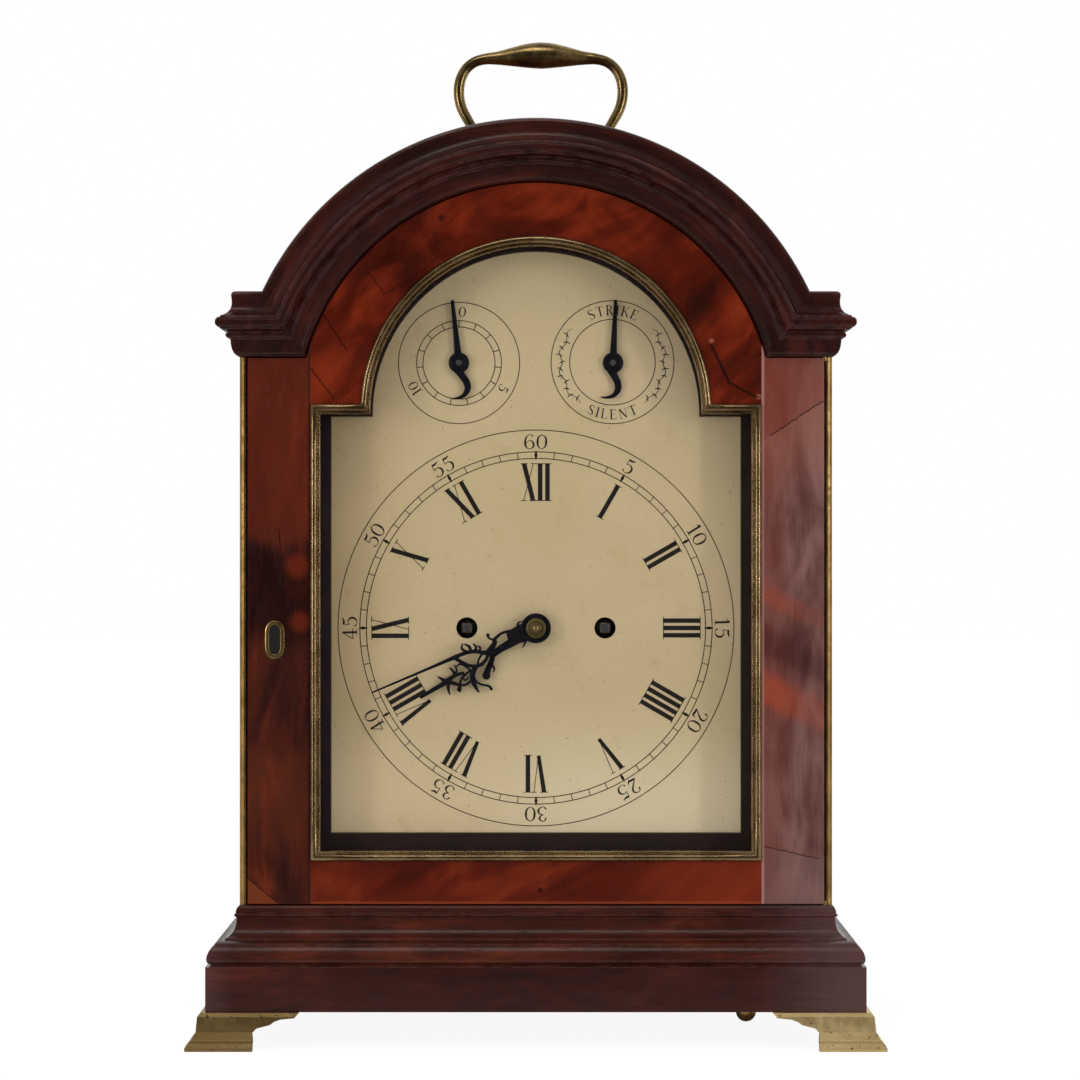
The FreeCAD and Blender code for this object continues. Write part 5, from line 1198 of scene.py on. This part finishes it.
def front_cornice():
    """Cornice of both sides, the shoulders and the arch, mitred where they meet."""
    inner, stretch = 111.4, 29.4 / 30.5
    section = cornice_section + [(0.0, 0.0), (0.0, cornice_rise)]
    drawn = len(cornice_section)
    bends = 96
    right = [[], []]
    arch = [[] for _ in range(bends + 1)]
    for i, (out, high) in enumerate(section):
        z = shoulder_z + high
        radius = inner + high * stretch
        y = door_front - out if i < drawn else case_front
        start = math.asin((z - arch_z) / radius)
        right[0].append((case_half + out, case_back, z))
        right[1].append((case_half + out, y, z))
        for k in range(bends + 1):
            a = start + (math.pi - 2 * start) * k / bends
            arch[k].append((radius * math.cos(a), y, arch_z + radius * math.sin(a)))
    left = [[(-x, y, z) for x, y, z in ring] for ring in reversed(right)]
    shape = bmesh.new()
    loft(shape, right + arch + left)
    new_piece("run_cornice", shape, "arch_moulding", "root", ("front_cornice", "side_cornices"),
              26)


def moulded_base():
    """Moulding of the base, mitred at the front corners, with the plain rail behind it."""
    behind = 10.0
    section = base_section + [(-behind, 0.0), (-behind, base_rise)]
    corner = [(case_half + out, door_front - out, plinth_top + high) for out, high in section]
    right = [[(x, case_back, z) for x, y, z in corner], corner]
    left = [[(-x, y, z) for x, y, z in ring] for ring in reversed(right)]
    shape = bmesh.new()
    loft(shape, right + left)
    half, top = 128.0, plinth_top + base_rise
    rail = [(-half, plinth_top), (half, plinth_top), (half, top), (-half, top)]
    flat(shape, rail, case_back - 12.0, case_back - 0.05)
    new_piece("run_base_moulding", shape, "base_moulding", "root", ("base_moulding",), 26)


def sight_outline(inset):
    """Outline of the door's glazed opening as (x, z), drawn in by inset all round."""
    half, bottom, shoulder = 104.9 - inset, 84.9 + inset, 297.4 - inset
    radius, centre = 81.7 - inset, 293.9
    start = math.asin((shoulder - centre) / radius)
    points = [(half, shoulder)]
    points += [(half, shoulder + (bottom - shoulder) * k / 12) for k in range(1, 12)]
    points += [(half - 2 * half * k / 12, bottom) for k in range(13)]
    points += [(-half, bottom + (shoulder - bottom) * k / 12) for k in range(1, 13)]
    foot = radius * math.cos(start)
    points += [(-half + (half - foot) * k / 3, shoulder) for k in range(1, 3)]
    for k in range(97):
        a = math.pi - start - (math.pi - 2 * start) * k / 96
        points.append((radius * math.cos(a), centre + radius * math.sin(a)))
    points += [(foot + (half - foot) * k / 3, shoulder) for k in range(1, 3)]
    return points


def bezel_moulding():
    """Cast bezel: a full round with a quirk and a thin fillet inside it."""
    profile = [(0.0, -78.9), (0.0, -79.8), (0.25, -80.4), (0.75, -80.95), (1.5, -81.25),
               (2.2, -81.2), (2.8, -80.85), (3.2, -80.3), (3.35, -79.7), (3.5, -79.4),
               (3.8, -79.4), (4.0, -79.6), (4.4, -79.6), (4.6, -79.4), (4.6, -76.05),
               (3.3, -76.05), (3.3, -78.9)]
    shape = bmesh.new()
    loft(shape, [[(x, y, z) for x, z in sight_outline(inset)] for inset, y in profile],
         closed=True)
    new_piece("cast_bezel", shape, "bezel", "front_door", ("door_bezel",), 50)


def keyhole_plate():
    """Keyhole escutcheon: a brass line let into the stile round the keyhole."""
    def outline(wide):
        """Upright oval, slightly waisted, drawn out from the keyhole's middle."""
        points = []
        for k in range(64):
            a = 2 * math.pi * k / 64
            u, v = math.cos(a), math.sin(a)
            reach = (3.7 + wide) * v
            waist = 0.55 * math.exp(-(v / 0.55) ** 2)
            points.append((keyhole_x + (wide - waist) * abs(u) ** 0.72 * (1 if u > 0 else -1),
                           keyhole_z + 0.15 + reach))
        return points
    front, back = -79.75, -78.95
    outer, ridge, inner = outline(5.1), outline(4.2), outline(3.1)
    shape = bmesh.new()
    loft(shape, [[(x, y, z) for x, z in line]
                 for line, y in ((inner, back), (outer, back), (outer, front + 0.35),
                                 (ridge, front), (inner, front + 0.3))], closed=True)
    new_piece("keyhole_surround", shape, "escutcheon", "front_door", ("keyhole_escutcheon",),
              45)
    dark = bmesh.new()
    flat(dark, outline(3.2), -79.03, -78.9)
    new_piece("keyhole_shadow", dark, "hole_shade", "front_door")


def side_pierced_frets():
    """Brass frets of the sides, sawn into fish scales inside a plain border."""
    mid_y, half, sill, top = 20.0, 36.8, 124.3, 246.1
    border_wide, pitch, wire = 4.6, 11.0, 0.62
    shape = bmesh.new()

    def inside(y, z, edge):
        """Whether a point keeps the edge's distance from the fret's outline."""
        if z < sill + edge or abs(y - mid_y) > half - edge:
            return False
        if z > top:
            return math.hypot(y - mid_y, z - top) < half - edge
        return True

    for s in (1, -1):
        x0, x1 = s * 126.8, s * 128.0
        border = [(mid_y - half, sill), (mid_y + half, sill)]
        close = half - border_wide
        inner = [(mid_y - close, sill + border_wide), (mid_y + close, sill + border_wide)]
        for k in range(25):
            a = math.pi * k / 24
            border.append((mid_y + half * math.cos(a), top + half * math.sin(a)))
            inner.append((mid_y + close * math.cos(a), top + close * math.sin(a)))
        loft(shape, [[(x, y, z) for y, z in line]
                     for line, x in ((border, x0), (border, x1), (inner, x1), (inner, x0))],
             closed=True)
        row = 0
        z = sill + 2.0
        while z < top + half:
            shift = (row % 2) * pitch / 2
            y = mid_y - half - pitch + shift
            while y < mid_y + half + pitch:
                points = []
                for k in range(13):
                    a = math.pi * k / 12
                    points.append((y + pitch / 2 * math.cos(a), z + pitch / 2 * math.sin(a)))
                run = []
                for p in points + [None]:
                    if p and inside(p[0], p[1], 3.2):
                        run.append(p)
                        continue
                    if len(run) > 1:
                        rings = []
                        for py, pz in run:
                            dy, dz = py - y, pz - z
                            length = math.hypot(dy, dz)
                            uy, uz = dy / length * wire, dz / length * wire
                            rings.append([(x0, py - uy, pz - uz), (x0, py + uy, pz + uz),
                                          (x1, py + uy, pz + uz), (x1, py - uy, pz - uz)])
                        loft(shape, rings)
                    run = []
                y += pitch
            z += pitch / 2
            row += 1
    new_piece("pierced_side_frets", shape, "fret", "root", ("side_frets",), 40)


def screw_heads():
    """Slotted round screw heads on the back plate, each slot at its own angle."""
    face, radius, rise, steps = plate_back, 2.6, 1.2, 28
    shape = bmesh.new()
    rng = random.Random(7)

    def ring(x, z, reach, high, angles):
        """Points round a screw's axis at a height over the plate."""
        return [(x + reach * math.cos(a), face + high, z + reach * math.sin(a))
                for a in angles]

    for x, z in [(x, z) for x in (-64.0, 64.0) for z in (108.1, 260.1)]:
        lean = rng.uniform(0, math.pi)
        whole = [2 * math.pi * k / steps + lean for k in range(steps)]
        loft(shape, [ring(x, z, radius * share, rise * high, whole)
                     for share, high in ((1.0, 0.0), (1.0, 0.5), (0.72, 0.9))])
        for start in (lean, lean + math.pi):
            part = [start + 0.16 + (math.pi - 0.32) * k / 12 for k in range(13)]
            loft(shape, [ring(x, z, radius * 0.72, rise * high, part)
                         for high in (0.8, 1.0)])
    new_piece("back_plate_screws", shape, "steel", "root", (), 30)


def bob():
    """Brass-faced pendulum bob and its rating nut."""
    y, z = bob_place
    shape = bmesh.new()
    profile = [(0.5, -4.6), (8.0, -4.5), (14.0, -4.1), (19.0, -3.2), (23.0, -1.9),
               (25.6, -0.6), (26.0, 0.0), (25.6, 0.6), (23.0, 1.9), (19.0, 3.2), (14.0, 4.1),
               (8.0, 4.5), (0.5, 4.6)]
    turn(shape, profile, (0, y, z), "y", 64)
    turn(shape, [(3.6, z - 30.6), (4.4, z - 30.1), (4.6, z - 29.2), (4.6, z - 28.0),
                 (4.4, z - 27.2), (3.6, z - 26.8)], (0, y, 0), "z", 36)
    new_piece("faced_bob_and_nut", shape, "movement", "pendulum", ("pendulum_bob",), 50)


def bell_on_strap():
    """Turned strike bell with a rolled lip, its nut, and the strap that holds it up."""
    y, rim, crown = bell_y, bell_rim_z, bell_crown_z
    thick = 3.0
    shape = bmesh.new()
    dome = [(38.8, rim), (40.6, rim - 0.02), (41.6, rim + 0.5), (41.9, rim + 1.4),
            (41.4, rim + 2.4), (40.6, rim + 3.6), (39.6, rim + 5.8), (38.7, rim + 9.0),
            (37.7, rim + 13.0), (36.4, rim + 17.0), (34.4, rim + 21.4), (31.6, rim + 25.8),
            (27.8, rim + 30.2), (23.2, rim + 33.6), (17.6, rim + 36.0), (11.4, rim + 37.4),
            (5.0, crown - 0.1), (5.0, crown - 2.7), (10.8, crown - 3.2), (16.8, crown - 4.6),
            (21.8, crown - 6.8), (26.0, crown - 10.0), (29.4, crown - 13.8),
            (32.0, crown - 18.0), (34.0, crown - 22.6), (35.6, crown - 27.4),
            (36.9, crown - 32.0), (38.0, rim + 1.6)]
    turn(shape, dome, (0, y, 0), "z", 96, closed=True)
    new_piece("turned_bell", shape, "bell", "root", ("bell_and_stand",), 40)
    shape = bmesh.new()
    upright = [(24.4, 242.1), (35.6, 242.1), (36.0, 242.9), (36.0, crown + 2.4),
               (35.2, crown + thick), (24.8, crown + thick), (24.0, crown + 2.4), (24.0, 242.9)]
    flat(shape, upright, plate_back, plate_back + thick)
    behind = plate_back + thick
    arm = [(-4.6, y - 5.0), (4.6, y - 5.0), (36.0, 25.6), (36.0, behind), (24.0, behind),
           (-5.0, y + 5.0), (-5.0, y - 4.4)]
    loft(shape, [[(u, v, z) for u, v in arm] for z in (crown, crown + thick)])
    turn(shape, [(1.6, crown - 4.0), (1.6, crown + thick)], (0, y, 0), "z", 16)
    turn(shape, [(4.0, crown + thick), (4.6, crown + 3.5), (4.6, crown + 6.4),
                 (4.0, crown + 7.0)], (0, y, 0), "z", 6)
    new_piece("bell_strap", shape, "movement", "root", (), 30)


# ---- the clock's dressing ----
dial_print()
minute_hand()
hour_hand()
small_hand("rise_fall_pointer", (-subdial_x, subdial_z), -6.0, "rise_fall_hand")
small_hand("strike_silent_pointer", (subdial_x, subdial_z), 2.4, "strike_silent_hand")
centre_collet()
winding_holes()
winding_squares()
front_cornice()
moulded_base()
bezel_moulding()
bail()
posts()
repeat_ball()
keyhole_plate()
side_pierced_frets()
bell_on_strap()
bob()
screw_heads()


# ---- room, lamps and camera ----

def room_light():
    """White room behind the camera's view, with a dark front that the wood can mirror."""
    world = bpy.data.worlds.new("studio")
    world.use_nodes = True
    bpy.context.scene.world = world
    light = Finish("studio", world.node_tree)
    seen, through, mirrored = light.rays()
    x, y, z = light.parts(light.add("ShaderNodeTexCoord", out=0))
    behind = light.fade(y, -0.15, 0.55)
    aside = light.fade(abs(x) + z * 0.6, 0.35, 1.0)
    front_tone = light.blend(aside, (0.025, 0.024, 0.023, 1.0), (0.30, 0.295, 0.28, 1.0))
    mirror_tone = light.blend(behind, front_tone, (0.85, 0.85, 0.85, 1.0))
    soft = light.add("ShaderNodeBackground", None, {0: (1.0, 0.985, 0.96, 1.0), 1: 0.66})
    mirror = light.add("ShaderNodeBackground", None, {0: mirror_tone, 1: 1.0})
    white = light.add("ShaderNodeBackground", None, {0: (1.0, 1.0, 1.0, 1.0), 1: 1.0})
    mixed = light.add("ShaderNodeMixShader", None, {0: mirrored, 1: soft, 2: mirror})
    mixed = light.add("ShaderNodeMixShader", None, {0: seen.most(through), 1: mixed, 2: white})
    light.add("ShaderNodeOutputWorld", None, {"Surface": mixed})


def floor():
    """White paper floor; its farther part looks dark to shiny faces, as a black card does."""
    shape = bmesh.new()
    bmesh.ops.create_grid(shape, x_segments=2, y_segments=2, size=6.0)
    mesh = bpy.data.meshes.new("studio_floor")
    shape.to_mesh(mesh)
    shape.free()
    ground = bpy.data.objects.new("studio_floor", mesh)
    bpy.context.scene.collection.objects.link(ground)
    cloth = Finish("floor_white")
    seen, through, mirrored = cloth.rays()
    paper = cloth.add("ShaderNodeBsdfDiffuse", None, {"Color": (0.86, 0.86, 0.86, 1.0)})
    glow = cloth.add("ShaderNodeEmission", None,
                     {"Color": (1.0, 1.0, 1.0, 1.0), "Strength": 1.12})
    share = seen.most(through) * 0.82
    mixed = cloth.add("ShaderNodeMixShader", None, {0: share, 1: paper, 2: glow})
    card = cloth.add("ShaderNodeEmission", None,
                     {"Color": (1.0, 0.96, 0.9, 1.0), "Strength": 0.10})
    _, y, _ = cloth.parts(cloth.place())
    farther = 1 - cloth.fade(y, -0.34, -0.22)
    mixed = cloth.add("ShaderNodeMixShader", None,
                      {0: mirrored * farther, 1: mixed, 2: card})
    cloth.add("ShaderNodeOutputMaterial", None, {"Surface": mixed})
    mesh.materials.append(cloth.material)


def softbox(name, place, aim, width, height, power):
    """Rectangular lamp with slightly warm light, aimed at a point."""
    data = bpy.data.lights.new(name, "AREA")
    data.shape = "RECTANGLE"
    data.size = width
    data.size_y = height
    data.energy = power
    data.color = (1.0, 0.97, 0.93)
    lamp_object = bpy.data.objects.new(name, data)
    lamp_object.location = place
    direction = Vector(aim) - Vector(place)
    lamp_object.rotation_euler = direction.to_track_quat("-Z", "Y").to_euler()
    bpy.context.scene.collection.objects.link(lamp_object)


room_light()
floor()
softbox("overhead_softbox", (-0.15, -0.95, 1.70), (0.0, -0.05, 0.25), 0.9, 0.5, 4.5)
softbox("left_softbox", (-1.45, -1.35, 0.42), (0.0, 0.0, 0.22), 0.35, 0.8, 6.5)
softbox("right_strip", (1.25, -1.25, 0.38), (0.05, 0.0, 0.18), 0.16, 0.7, 5.0)

camera_data = bpy.data.cameras.new("photo_camera")
camera_data.lens = 107.57
camera_data.sensor_width = 36.0
camera_data.clip_start = 0.05
camera = bpy.data.objects.new("photo_camera", camera_data)
camera.location = (0.0019, -1.579, 0.2342)
camera.rotation_euler = (math.radians(90), 0.0, 0.0)
bpy.context.scene.collection.objects.link(camera)
bpy.context.scene.camera = camera
bpy.context.scene.view_settings.view_transform = "Standard"
